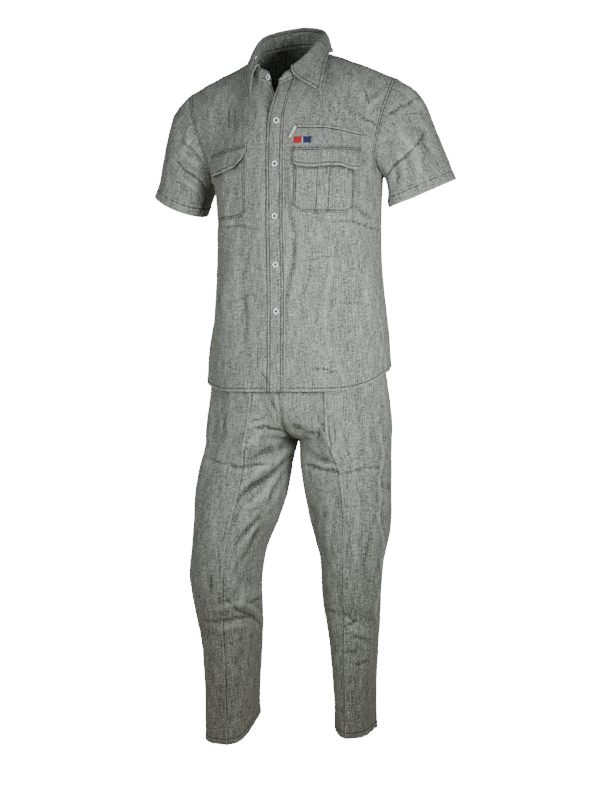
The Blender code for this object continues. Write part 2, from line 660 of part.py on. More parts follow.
def leg(side, where, u, v):
    """A trouser panel's middle surface: u from the inner seam (0) by the crease (0.5) to the side seam (1),
    v is the height of the row at the side seam."""
    u, v = np.broadcast_arrays(np.asarray(u, float), np.asarray(v, float))
    rows = leg_rows(side)
    row = smooth(rows, v)
    crotch = SEAT[0][0]
    below, above = [r for r in rows if r[0] <= crotch], [r for r in rows if r[0] >= crotch]
    inside = np.where((v <= crotch)[..., None], smooth(below, v), smooth(above, v))
    for columns in (slice(0, 3), slice(12, 17)):
        row[..., columns] = inside[..., columns]
    inner_front, crease_front, outer, crease_back, inner_back = (row[..., 3 * i:3 * i + 3] for i in range(5))
    front = where == "front"
    inner = inner_front if front else inner_back
    crease = crease_front if front else crease_back
    angle = np.radians(row[..., 15] if front else row[..., 16])
    turn = np.radians(row[..., 17])
    ahead = -1.0 if front else 1.0
    gather = np.radians(CREASE_DEG) * (1 - ease((v + 0.72) / 0.08))
    out = vec(np.cos(turn), np.sin(turn), 0)
    fore = vec(np.sin(turn), -np.cos(turn), 0) * (-ahead if not front else 1.0)
    if not front:
        fore = vec(-np.sin(turn), np.cos(turn), 0)
    at_inner = vec(np.cos(angle), ahead * np.sin(angle), 0)
    into_crease = out * np.cos(gather)[..., None] + fore * np.sin(gather)[..., None]
    from_crease = out * np.cos(gather)[..., None] - fore * np.sin(gather)[..., None]
    span1, span2 = length(crease - inner), length(outer - crease)
    first = hermite(inner, at_inner * span1 * 1.17, crease, into_crease * span1 * 1.05, np.clip(u * 2, 0, 1))
    second = hermite(crease, from_crease * span2 * 1.05, outer, -fore * span2 * 1.17, np.clip(u * 2 - 1, 0, 1))
    points = np.where((u <= 0.5)[..., None], first, second)
    gap = ease((v - LEGS[side][-1][0]) / 0.05) * (CLOTH / 2 * np.abs(np.sin(angle)))
    points = points + vec(gap * (1 - u), 0, 0)
    return on_side(points, side) + np.array([TROUSERS_SHIFT, 0, 0])


def leg_heights(side):
    hem = LEGS[side][0][0]
    crotch, waist = SEAT[0][0], SEAT[-1][0]
    return np.concatenate([
        np.linspace(hem, crotch, LEG_ROWS + 1), crotch + (waist - crotch) * np.linspace(0, 1, SEAT_ROWS + 1)[1:]
    ])


def waist(side_angle, up):
    """The waistband, round the waist from the left of centre front."""
    turn = np.radians(side_angle)
    half, front, back = 0.163, 0.1105, 0.0985
    depth = np.where(np.cos(turn) > 0, front, back)
    shrink = 1 - 0.02 * up
    return vec(
        TROUSERS_SHIFT + half * shrink * np.sin(turn) * (1 + 0.02 * np.cos(turn) ** 2),
        -depth * shrink * np.cos(turn),
        SEAT[-1][0] + SEAM / 3 + (WAIST_HEIGHT - SEAM / 3) * up,
    )


# Solids

def material(name, colour, roughness, metallic=0.0):
    mat = bpy.data.materials.new(name)
    mat.use_nodes = True
    shader = mat.node_tree.nodes["Principled BSDF"]
    shader.inputs["Base Color"].default_value = (*colour, 1)
    shader.inputs["Roughness"].default_value = roughness
    shader.inputs["Metallic"].default_value = metallic
    mat.diffuse_color = (*colour, 1)
    return mat


def put(name, bm, mat, collection):
    mesh = bpy.data.meshes.new(name)
    bm.to_mesh(mesh)
    bm.free()
    mesh.materials.append(mat)
    obj = bpy.data.objects.new(name, mesh)
    collection.objects.link(obj)
    return obj


def cloth(name, points, mat, collection, closed=False, thickness=CLOTH):
    """A wall of cloth about a grid of points."""
    rows, columns = points.shape[:2]
    bm = bmesh.new()
    bmesh.ops.create_grid(bm, x_segments=columns - 1, y_segments=rows - 1, size=1)
    bm.verts.ensure_lookup_table()
    for vert, place in zip(bm.verts, points.reshape(-1, 3)):
        vert.co = Vector(place)
    if closed:
        bmesh.ops.remove_doubles(bm, verts=bm.verts, dist=1e-6)
    obj = put(name, bm, mat, collection)
    wall = obj.modifiers.new("wall", "SOLIDIFY")
    wall.thickness = thickness
    wall.offset = 0
    return obj


def lathe(name, profile, segments, place, axis, mat, collection):
    """A turned solid: profile is (radius, height) from one pole to the other."""
    bm = bmesh.new()
    rings = []
    for radius, height in profile:
        if radius < 1e-6:
            rings.append([bm.verts.new((0, 0, height))])
        else:
            rings.append([
                bm.verts.new((radius * math.cos(a), radius * math.sin(a), height))
                for a in (2 * math.pi * i / segments for i in range(segments))
            ])
    for low, high in zip(rings, rings[1:]):
        for i in range(segments):
            j = (i + 1) % segments
            corners = [low[i % len(low)], low[j % len(low)], high[j % len(high)], high[i % len(high)]]
            bm.faces.new(list(dict.fromkeys(corners)))
    bmesh.ops.recalc_face_normals(bm, faces=bm.faces)
    turn = Vector((0, 0, 1)).rotation_difference(Vector(axis)).to_matrix().to_4x4()
    bmesh.ops.transform(bm, matrix=Matrix.Translation(Vector(place)) @ turn, verts=bm.verts)
    return put(name, bm, mat, collection)


def button(name, place, axis, mat, collection):
    r, h = BUTTON_RADIUS, BUTTON_THICK
    profile = ((0, 0), (r * 0.86, 0), (r, h * 0.35), (r, h * 0.75), (r * 0.86, h), (r * 0.70, h * 0.92),
               (r * 0.60, h * 0.62), (0, h * 0.58))
    return lathe(name, profile, 14, np.array(place), axis, mat, collection)


def resting(tree, place, direction):
    """Where the back of a button lies clear of the cloth under the whole of its disc."""
    side_ways = unit(np.cross(direction, [0, 0, 1.0]))
    upward = np.cross(side_ways, direction)
    heights = []
    for a in np.arange(0, 2 * np.pi, np.pi / 8):
        rim = place + BUTTON_RADIUS * (np.cos(a) * side_ways + np.sin(a) * upward)
        high = height_over(tree, rim, direction)
        if high is not None:
            heights.append(high)
    return place - direction * (min(heights) - CLOTH / 2 - 0.0004)


def plate(name, outline, hole, thickness, frame, mat, collection):
    """A flat plate: an outline with or without a hole of as many corners, in a frame (place, right, up, out)."""
    place, right, up, out = (Vector(p) for p in frame)
    bm = bmesh.new()

    def loop(corners, level):
        return [bm.verts.new(place + right * x + up * y + out * level) for x, y in corners]

    outer = [loop(outline, level) for level in (-thickness / 2, thickness / 2)]
    count = len(outline)
    for i in range(count):
        j = (i + 1) % count
        bm.faces.new([outer[0][i], outer[0][j], outer[1][j], outer[1][i]])
    if hole:
        inner = [loop(hole, level) for level in (-thickness / 2, thickness / 2)]
        for i in range(count):
            j = (i + 1) % count
            bm.faces.new([inner[0][i], inner[0][j], inner[1][j], inner[1][i]])
            for level in (0, 1):
                bm.faces.new([outer[level][i], outer[level][j], inner[level][j], inner[level][i]])
    else:
        bm.faces.new(outer[0])
        bm.faces.new(outer[1])
    bmesh.ops.recalc_face_normals(bm, faces=bm.faces)
    return put(name, bm, mat, collection)


def build():
    for obj in list(bpy.data.objects):
        bpy.data.objects.remove(obj, do_unlink=True)
    suit = bpy.data.collections.new("work_suit")
    bpy.context.scene.collection.children.link(suit)
    cotton = material("cotton_cloth", (0.27, 0.28, 0.26), 0.95)
    tape = material("zip_tape", (0.16, 0.12, 0.10), 0.9)
    woven = material("label_weave", (0.55, 0.08, 0.10), 0.8)
    horn = material("button_resin", (0.62, 0.66, 0.68), 0.35)
    metal = material("zip_metal", (0.55, 0.52, 0.46), 0.35, 1.0)

    # Shirt body
    fronts = {}
    for side in ("left", "right"):
        points = body_grid(side, "front", FRONT_COLUMNS, BODY_ROWS_LOW, BODY_ROWS_HIGH)
        fronts[side] = Chest(side, points)
        cloth(f"front_{side}", points, cotton, suit)
    halves = {side: body_grid(side, "back", BACK_COLUMNS // 2, BODY_ROWS_LOW, BODY_ROWS_HIGH)
              for side in ("left", "right")}
    whole = np.concatenate([halves["right"][:, ::-1], halves["left"][:, 1:]], axis=1)
    cloth("back", whole, cotton, suit)
    around, down = np.meshgrid(np.linspace(0, 1, SLEEVE_COLUMNS + 1), np.linspace(0, 1, SLEEVE_ROWS + 1))
    for side in ("left", "right"):
        cloth(f"sleeve_{side}", sleeve(side, around, down), cotton, suit, closed=True)

    # Front band: on the left front, over the same rows of cloth
    v = np.concatenate([np.linspace(0, 1, BODY_ROWS_LOW + 1), 1 + np.linspace(0, 1, BODY_ROWS_HIGH + 1)[1:]])
    fine_u, fine_v = np.meshgrid(np.linspace(0, 0.35, 29), v)
    strip = body("left", "front", fine_u, fine_v)
    steps = np.linalg.norm(np.diff(strip[..., :2], axis=1), axis=-1)
    along = np.concatenate([np.zeros((len(v), 1)), np.cumsum(steps, axis=1)], axis=1)
    across = np.linspace(0, PLACKET, 3)
    band_u = np.array([np.interp(across, along[i], fine_u[i]) for i in range(len(v))])
    band_v = np.repeat(v[:, None], 3, axis=1)
    band = body("left", "front", band_u, band_v)
    ahead = normals(band, (0, -1, 0))
    band = lift(trim(band + ahead * LAYER, top=SEAM / 2 + 0.0004), ahead, fronts["left"].tree, LAYER - 0.0002)
    cloth("placket", band, cotton, suit)

    # Collar
    front_places = 3 * np.arange(6) / 5
    places = np.concatenate([front_places, 3 + np.arange(1, 8) / 2, 10 - front_places[::-1]])
    place, up = np.meshgrid(places, np.linspace(0, 1, 4))
    stand_points = stand(place, up)
    cloth("collar_stand", stand_points, cotton, suit)
    place, out = np.meshgrid(np.linspace(FALL_FROM, FALL_TO, 27), (0, 0.08, 0.16, 0.37, 0.58, 0.79, 1.0))
    shirt = facets(fronts["left"].grid, fronts["right"].grid, whole)
    cloth("collar_fall", keep_clear(fall(place, out), shirt, COLLAR_CLEAR), cotton, suit)

    # Zip, label, pockets and flaps
    left = fronts["left"]
    u, v = grid(12, 2)
    zip_across = ZIP["from"] + (ZIP["to"] - ZIP["from"]) * u
    zip_z = ZIP["z"] - ZIP["drop"] * ease(u * 1.6 - 0.6) - ZIP["width"] * (v - 0.5)
    cloth("zip_tape", left.lay(zip_across, zip_z, LAYER), tape, suit)
    u, v = grid(3, 2)
    cloth("label", left.lay(LABEL["from"] + (LABEL["to"] - LABEL["from"]) * u, LABEL["top"] - LABEL["height"] * v,
                            LAYER), woven, suit, thickness=0.001)
    for side in ("left", "right"):
        chest = fronts[side]
        pocket = pocket_points(side, chest, 10, 8)
        cloth(f"pocket_{side}", pocket, cotton, suit)
        cloth(f"flap_{side}", flap_points(side, chest, 10, 3, pocket), cotton, suit)

    # Zip slider with its pivot, and the pull tab that hangs from it
    spot, ahead = left.at(np.array([ZIP["from"] - 0.004]), np.array([ZIP["z"]]))
    spot, ahead = spot[0], ahead[0]
    surface = left.lay(np.array([ZIP["from"] - 0.004]), np.array([ZIP["z"]]), LAYER)[0]
    right = unit(np.cross(ahead, [0, 0, 1.0]) * -1)
    above = unit(np.cross(right, ahead) * -1)
    if above[2] < 0:
        above = -above
    profile = ((0, -0.0018), (0.0034, -0.0018), (0.0034, 0.0006), (0.0009, 0.0006), (0.0009, 0.0026),
               (0.0021, 0.0026), (0.0021, 0.0034), (0, 0.0034))
    lathe("zip_slider", profile, 12, surface + ahead * 0.0008, ahead, metal, suit)
    outline = list(PULL_OUTLINE) + [(-x, y) for x, y in PULL_OUTLINE[-2:0:-1]]
    turns = [2 * math.pi * i / len(outline) for i in range(len(outline))]
    hole = [(PULL_EYE * math.sin(a), PULL_EYE * math.cos(a)) for a in turns]
    lean = math.radians(PULL_LEAN_DEG)
    pull_right = right * math.cos(lean) - above * math.sin(lean)
    pull_up = above * math.cos(lean) + right * math.sin(lean)
    plate("zip_pull", outline, hole, 0.0010, (surface + ahead * 0.0024, pull_right, pull_up, ahead), metal, suit)

    # Buttons
    band_tree = facets(band)
    for number, z in enumerate(BUTTON_Z, 1):
        u0 = np.linspace(0, 0.35, 29)
        v0 = np.interp(z, body("left", "front", np.full(241, 0.05), np.linspace(0, 2, 241))[:, 2],
                       np.linspace(0, 2, 241))
        line = body("left", "front", u0, np.full(29, v0))
        run = np.concatenate([[0], np.cumsum(np.linalg.norm(np.diff(line[:, :2], axis=0), axis=1))])
        at = np.array([[np.interp(PLACKET / 2 + k * 0.004, run, line[:, i]) for i in range(3)] for k in (-1, 0, 1)])
        direction = unit(np.cross(at[2] - at[0], [0, 0, 1.0]))
        if direction[1] > 0:
            direction = -direction
        button(f"button_{number}", resting(band_tree, at[1], direction), direction, horn, suit)
    place = 10.0 - 0.22
    base = stand(place, 0.62)
    direction = unit(np.cross(stand(place - 0.1, 0.62) - stand(place + 0.1, 0.62), [0, 0, 1.0]))
    if direction[1] > 0:
        direction = -direction
    button("button_collar", resting(facets(stand_points), base, direction), direction, horn, suit)

    # Trousers
    for side in ("left", "right"):
        heights = leg_heights(side)
        u, v = np.meshgrid(np.linspace(0, 1, LEG_COLUMNS + 1), heights)
        for where in ("front", "back"):
            points = leg(side, where, u, v)
            middle = np.array([sign_of(side) * 0.11, 0, 0])
            points = folded(f"leg_{where}_{side}", points, u, (points - middle) * np.array([1, 1, 0]))
            points = trim(points, left=SEAM / 2, right=SEAM / 2)
            cloth(f"leg_{where}_{side}", points, cotton, suit)
    angles, up = np.meshgrid(np.linspace(3, 359.5, 37), (0, 1))
    cloth("waistband", waist(angles, up), cotton, suit)


build()
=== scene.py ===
"""Looks of the work suit: a short-sleeved shirt over long trousers, as it is worn.

The tables and curves are those of the solids, in metres where no heading says otherwise, drawn here with a
finer grid; the creases, crumples, seams, thread, buttons and zip are added to them.
"""

import math

import bmesh
import bpy
import numpy as np
from mathutils import Matrix, Vector
from mathutils.bvhtree import BVHTree


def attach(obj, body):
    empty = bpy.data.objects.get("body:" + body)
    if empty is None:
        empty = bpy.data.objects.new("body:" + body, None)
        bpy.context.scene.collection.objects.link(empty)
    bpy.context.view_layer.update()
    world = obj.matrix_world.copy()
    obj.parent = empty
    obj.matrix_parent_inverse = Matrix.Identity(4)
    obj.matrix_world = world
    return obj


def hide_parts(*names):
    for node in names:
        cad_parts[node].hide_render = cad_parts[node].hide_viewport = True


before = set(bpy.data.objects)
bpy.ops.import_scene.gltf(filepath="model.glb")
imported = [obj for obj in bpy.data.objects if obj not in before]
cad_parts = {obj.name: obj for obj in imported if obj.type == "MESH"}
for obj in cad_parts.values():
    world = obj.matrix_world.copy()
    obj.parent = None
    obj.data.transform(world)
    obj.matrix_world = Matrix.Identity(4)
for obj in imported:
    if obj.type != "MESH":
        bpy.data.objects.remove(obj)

# Cloth and seams
CLOTH = 0.0013          # wall of one layer of the washed cotton
SEAM = 0.0004           # distance between two panels at a flat seam
UNDERLAP = 0.0026       # how far the right front lies behind the left front
LAYER = 0.0021          # from the middle of one layer to the middle of the layer sewn onto it
ALLOWANCE, ALLOWANCE_DEPTH = 0.004, 0.0015  # how far a panel goes on under its neighbour, and how deep
PUCKER = 0.0056         # from one pucker to the next along a sewn line
HEM_FOLD = {"shirt": 0.0070, "sleeve": 0.0180, "leg": 0.0120}  # how wide each hem is turned up
MM = 0.001
LEVEL = np.array([1, 1, 0])  # keeps the level part of a direction
EDGE_LINES = {
    # edge: its row or column in a grid, and the next one inwards
    "left": (np.s_[:, 0], np.s_[:, 1]),
    "right": (np.s_[:, -1], np.s_[:, -2]),
    "bottom": (np.s_[0, :], np.s_[1, :]),
    "top": (np.s_[-1, :], np.s_[-2, :]),
}

# Shirt
HEM_Z = -0.712
ARMPIT_Z = -0.268
SIDE_SEAM_DEG = 95      # from centre front round to the side seam
HEM_RISE = {"left": 0.055, "right": 0.043}
HEM_RISE_START_DEG = 15
HEM_RISE_FADE = 0.22    # the height over which the rows of cloth become level again
BACK_HEM_DROP = 0.008
PLACKET = 0.036         # width of the front band, its middle on centre front
OPEN_FROM_Z = -0.158    # the fronts are open above this height
NECK_OPENING = {
    # side: x and z of the closed front's neck end, how far that end has moved, how far the edge rolls forward
    "left": (-0.0135, -0.088, 0.012, 0.008),
    "right": (0.0225, -0.082, -0.045, 0.0),
}
LAPEL_WIDTH = 0.075
NECK_SHARE = {"front": 5 / 12, "back": 4 / 9}  # share of a panel's top edge that is neckline
SCOOP = {"front": 0.20, "back": 0.29}  # how far the armhole cuts into the panel just above the armpit

# The shirt's body from the hem to the armpits
SHIRT_SECTIONS = (
    # z, centre_x, half_width, front, back
    (-0.712, 0.006, 0.197, 0.136, 0.144),
    (-0.620, 0.006, 0.191, 0.135, 0.138),
    (-0.530, 0.006, 0.184, 0.134, 0.125),
    (-0.440, 0.005, 0.178, 0.136, 0.117),
    (-0.350, 0.004, 0.178, 0.138, 0.120),
    (-0.268, 0.003, 0.184, 0.135, 0.126),
)
# The neckline when closed, from the left front end, round the back, to the right front end
NECKLINE = (
    # x, y, z
    (-0.0135, -0.096, -0.088),
    (0.034, -0.080, -0.064),
    (0.057, -0.048, -0.029),
    (0.062, -0.006, -0.003),
    (0.046, 0.036, 0.015),
    (-0.006, 0.056, 0.026),
    (-0.062, 0.036, 0.016),
    (-0.077, -0.006, -0.002),
    (-0.073, -0.050, -0.034),
    (-0.058, -0.082, -0.067),
    (0.0225, -0.096, -0.084),
)
SHOULDER_NECK = {"left": 3.0, "right": 7.0}
SHOULDER_MOVE = {"left": (-0.006, 0.0, 0.0), "right": (-0.006, 0.0, -0.004)}
ARMHOLE = (
    # x, y, z from the armpit by the front up to the shoulder tip, and by the back down again
    (0.189, 0.012, -0.268),
    (0.185, -0.032, -0.242),
    (0.198, -0.046, -0.187),
    (0.217, -0.044, -0.125),
    (0.231, -0.010, -0.072),
    (0.214, 0.058, -0.125),
    (0.194, 0.080, -0.190),
    (0.184, 0.062, -0.244),
)
# Directions of the cloth in the upper body: at the armpit level, at the neck, at the shoulder seam
DRAPE = {
    # up and back, as y and z; longer is fuller
    "front": ((0.00, 1.00), (0.60, 0.80), (1.00, 0.15)),
    "back": ((0.08, 1.15), (-0.55, 0.80), (-1.35, 0.15)),
}

# Sleeves
SLEEVE_OUTER = {"left": (0.341, 0.036, -0.276), "right": (0.319, 0.034, -0.275)}
SLEEVE_INNER = (0.208, 0.004, -0.332)
SLEEVE_HALF_DEPTH = 0.056
SLEEVE_FRONT_DROP = 0.009
SLEEVE_GAP = -0.0015    # the sleeve's edge starts under the armhole's edge
SLEEVE_MIDDLE = (0.200, 0.006, -0.165)      # the middle of the armhole
SLEEVE_LEAVES = {"shoulder": (0.88, 0.05, -0.47), "armpit": (0.76, 0.05, -0.65)}  # the cloth's way out of it

# Collar
NECK_MIDDLE = np.array([0, -0.01, 0])
STAND_GAP = 0.0015      # from the neckline up to the middle of the stand's lower edge
STAND_HEIGHTS = (
    # place along the neckline, height, lean inwards
    (0.0, 0.021, 0.02),
    (0.6, 0.023, 0.05),
    (2.0, 0.027, 0.12),
    (3.0, 0.029, 0.15),
    (5.0, 0.034, 0.10),
    (7.0, 0.031, 0.15),
    (8.0, 0.029, 0.12),
    (9.4, 0.025, 0.05),
    (10.0, 0.022, 0.02),
)
FALL_FROM, FALL_TO = 0.60, 9.10
FALL_ROLL = 0.16        # share of the collar's rows that turn over the top of the stand
FALL_EDGE = (
    # place along the neckline, x, y, z of the collar's outer edge
    (0.60, 0.088, -0.108, -0.106),
    (1.20, 0.088, -0.088, -0.074),
    (2.00, 0.083, -0.054, -0.036),
    (3.00, 0.077, -0.006, -0.003),
    (4.00, 0.060, 0.050, 0.007),
    (5.00, -0.006, 0.084, 0.020),
    (6.00, -0.076, 0.050, 0.008),
    (7.00, -0.096, -0.006, -0.004),
    (8.00, -0.091, -0.056, -0.042),
    (8.70, -0.078, -0.088, -0.082),
    (9.10, -0.064, -0.106, -0.107),
)

# Pieces on the chest, placed by the distance along the cloth from centre front, and by height
ZIP = {"from": 0.0430, "to": 0.180, "z": -0.180, "drop": 0.011, "width": 0.009}
LABEL = {"from": 0.0380, "to": 0.0725, "top": -0.1985, "height": 0.0125}
FLAPS = {
    # side: inner end, outer end, height of the top edge at each
    "left": (0.034, 0.184, -0.219, -0.217),
    "right": (0.066, 0.196, -0.208, -0.214),
}
FLAP_DROPS = {
    # share of the way out, how far the lower edge hangs below the top edge
    "left": ((0.0, 0.026), (0.05, 0.036), (0.15, 0.041), (0.5, 0.0400), (0.64, 0.0405), (0.80, 0.046),
             (0.93, 0.043), (1.0, 0.032)),
    "right": ((0.0, 0.010), (0.04, 0.025), (0.12, 0.0365), (0.35, 0.0455), (0.7, 0.0500), (1.0, 0.046)),
}
POCKETS = {
    # side: inner, outer, top, bottom, corner, pleat
    "left": (0.040, 0.163, -0.236, -0.352, 0.022, 0.0045),
    "right": (0.071, 0.184, -0.228, -0.356, 0.022, 0.0),
}

# Trouser legs below the crotch; outward is away from the middle of the suit
LEGS = {
    "left": (
        # z, outward, back, half_width, half_depth, turn_deg, rise_in, rise_out
        (-1.414, 0.1205, 0.012, 0.0375, 0.089, 6, 0.035, 0.002),
        (-1.340, 0.1210, 0.008, 0.0400, 0.091, 6, 0.018, 0.000),
        (-1.246, 0.1205, 0.003, 0.0465, 0.094, 6, 0.004, 0.000),
        (-1.143, 0.1170, -0.002, 0.0580, 0.097, 8, 0.000, 0.000),
        (-1.060, 0.1185, -0.004, 0.0640, 0.102, 8, 0.000, 0.000),
        (-0.983, 0.1140, -0.002, 0.0800, 0.108, 10, 0.000, 0.000),
        (-0.905, 0.1075, 0.000, 0.0890, 0.114, 11, 0.000, 0.000),
        (-0.868, 0.1050, 0.002, 0.0925, 0.118, 9, 0.000, 0.000),
    ),
    "right": (
        (-1.445, 0.1480, 0.000, 0.0550, 0.088, -12, 0.050, -0.002),
        (-1.396, 0.1470, -0.006, 0.0560, 0.088, -12, 0.034, 0.000),
        (-1.292, 0.1405, -0.020, 0.0590, 0.090, -10, 0.010, 0.000),
        (-1.242, 0.1385, -0.028, 0.0620, 0.092, -10, 0.002, 0.000),
        (-1.168, 0.1395, -0.045, 0.0710, 0.096, -13, 0.000, 0.000),
        (-1.091, 0.1410, -0.055, 0.0760, 0.101, -17, 0.000, 0.000),
        (-1.040, 0.1370, -0.050, 0.0785, 0.105, -16, 0.000, 0.000),
        (-0.977, 0.1255, -0.040, 0.0875, 0.110, -13, 0.000, 0.000),
        (-0.929, 0.1193, -0.029, 0.0935, 0.114, -11, 0.000, 0.000),
        (-0.868, 0.1130, -0.014, 0.0965, 0.118, -7, 0.000, 0.000),
    ),
}
CREASE_IN = {"left": 0.0, "right": 0.034}  # how far in the pressed crease stands at the hip
HIP_OUT = {"left": 0.004, "right": 0.010}  # how much wider the thighs stand at the crotch
# Trousers from the crotch up to the waist
SEAT = (
    # side_z, front_y, front_z, front_deg, crease_x, crease_y, side_x, back_crease_y, back_y, back_z, back_deg
    (-0.815, 0.000, -0.808, 62, 0.102, -0.116, 0.194, 0.116, 0.000, -0.808, 62),
    (-0.792, -0.048, -0.802, 54, 0.101, -0.117, 0.194, 0.119, 0.056, -0.796, 54),
    (-0.770, -0.088, -0.784, 38, 0.100, -0.117, 0.194, 0.121, 0.100, -0.774, 38),
    (-0.742, -0.114, -0.754, 18, 0.098, -0.115, 0.193, 0.121, 0.126, -0.746, 16),
    (-0.700, -0.125, -0.706, 4, 0.0955, -0.1114, 0.189, 0.117, 0.132, -0.704, 2),
    (-0.640, -0.124, -0.642, 0, 0.088, -0.103, 0.178, 0.107, 0.122, -0.642, 0),
    (-0.545, -0.112, -0.547, 0, 0.078, -0.094, 0.162, 0.085, 0.098, -0.545, 0),
)
TROUSERS_SHIFT = 0.006
CREASE_DEG = 15         # how far each side of a pressed crease turns away
WAIST = {"half": 0.163, "front": 0.1105, "back": 0.0985, "height": 0.036}
LEG_MIDDLE = (0.11, 0, 0)
LEG_TUCKS = {
    # panel: the edges where it goes on under the panel beside it
    "leg_front_left": ("left",), "leg_front_right": (),
    "leg_back_left": ("left", "right"), "leg_back_right": ("left", "right"),
}

# The largest folds, in millimetres, as lines seen from an angle round the suit: 0 is from the front,
# 90 from the wearer's left
FOLDS = (
    # panel, seen from, sharp; then across and up of both ends, width, height
    ("front_left", 20, False, (
        (100, -380, 112, -720, 22, -4.5), (140, -440, 158, -700, 22, 4), (80, -120, 150, -165, 22, -3),
    )),
    ("front_right", 20, False, (
        (-118, -400, -160, -700, 22, 4.5), (-85, -420, -118, -700, 20, -3.5),
        (-150, -110, -110, -180, 22, -3),
    )),
    ("back", 180, False, (
        (150, -210, 30, -330, 26, -4.5), (-140, -200, -40, -350, 26, -4), (90, -420, 110, -700, 26, 4.5),
        (-70, -460, -100, -700, 26, -4.5),
    )),
    ("leg_front_right", 20, False, (
        (0, -838, -130, -950, 20, -5), (-20, -872, -125, -1020, 20, 4), (-35, -960, -110, -1080, 20, -3.5),
        (-58, -1155, -150, -1192, 18, -2.5), (-62, -1110, -130, -1150, 20, 4.5),
    )),
    ("leg_front_left", 20, False, (
        (60, -1150, 170, -1180, 20, -5), (20, -850, 130, -880, 22, -3),
    )),
    ("leg_back_left", 180, False, (
        (-30, -850, -150, -880, 26, -6), (-80, -1130, -170, -1110, 22, -5.5),
        (-80, -1180, -170, -1200, 22, 4.5),
    )),
    ("leg_back_right", 180, False, (
        (30, -850, 160, -890, 26, -6), (80, -1130, 190, -1110, 22, -7), (80, -1185, 190, -1205, 22, 5.5),
    )),
)

# Buttons
BUTTON_RADIUS = 0.0060
BUTTON_THICK = 0.0026
BUTTON_PROFILE = (
    # radius and height as shares of the button's, from the inner edge round the rim and back to it
    (0.48, -0.30), (0.86, -0.50), (0.97, -0.30), (1.00, 0.05), (0.96, 0.36),
    (0.86, 0.50), (0.62, 0.46), (0.53, 0.22), (0.48, -0.02), (0.48, -0.30),
)
RIM_SEGMENTS = 40
BUTTON_PLATE = 0.0009   # how thick the middle is
HOLE_RADIUS, HOLE_PLACE = 0.00085, 0.00125

# The camera: where it stands, and what the photograph's pixels mean
VIEW_DEG, CAMERA_DISTANCE, EYE_Z = 20, 3.3, -0.7287
LENS, SENSOR_WIDTH = 70.71, 36.0
PHOTO_WIDTH, PHOTO_HEIGHT = 600, 800
PHOTO_MIDDLE, PHOTO_HORIZON = 296.7, 400    # where the suit's middle and the eye's height lie
METRES_PER_PIXEL = 0.00203
CREASE_STRENGTH = 1.6
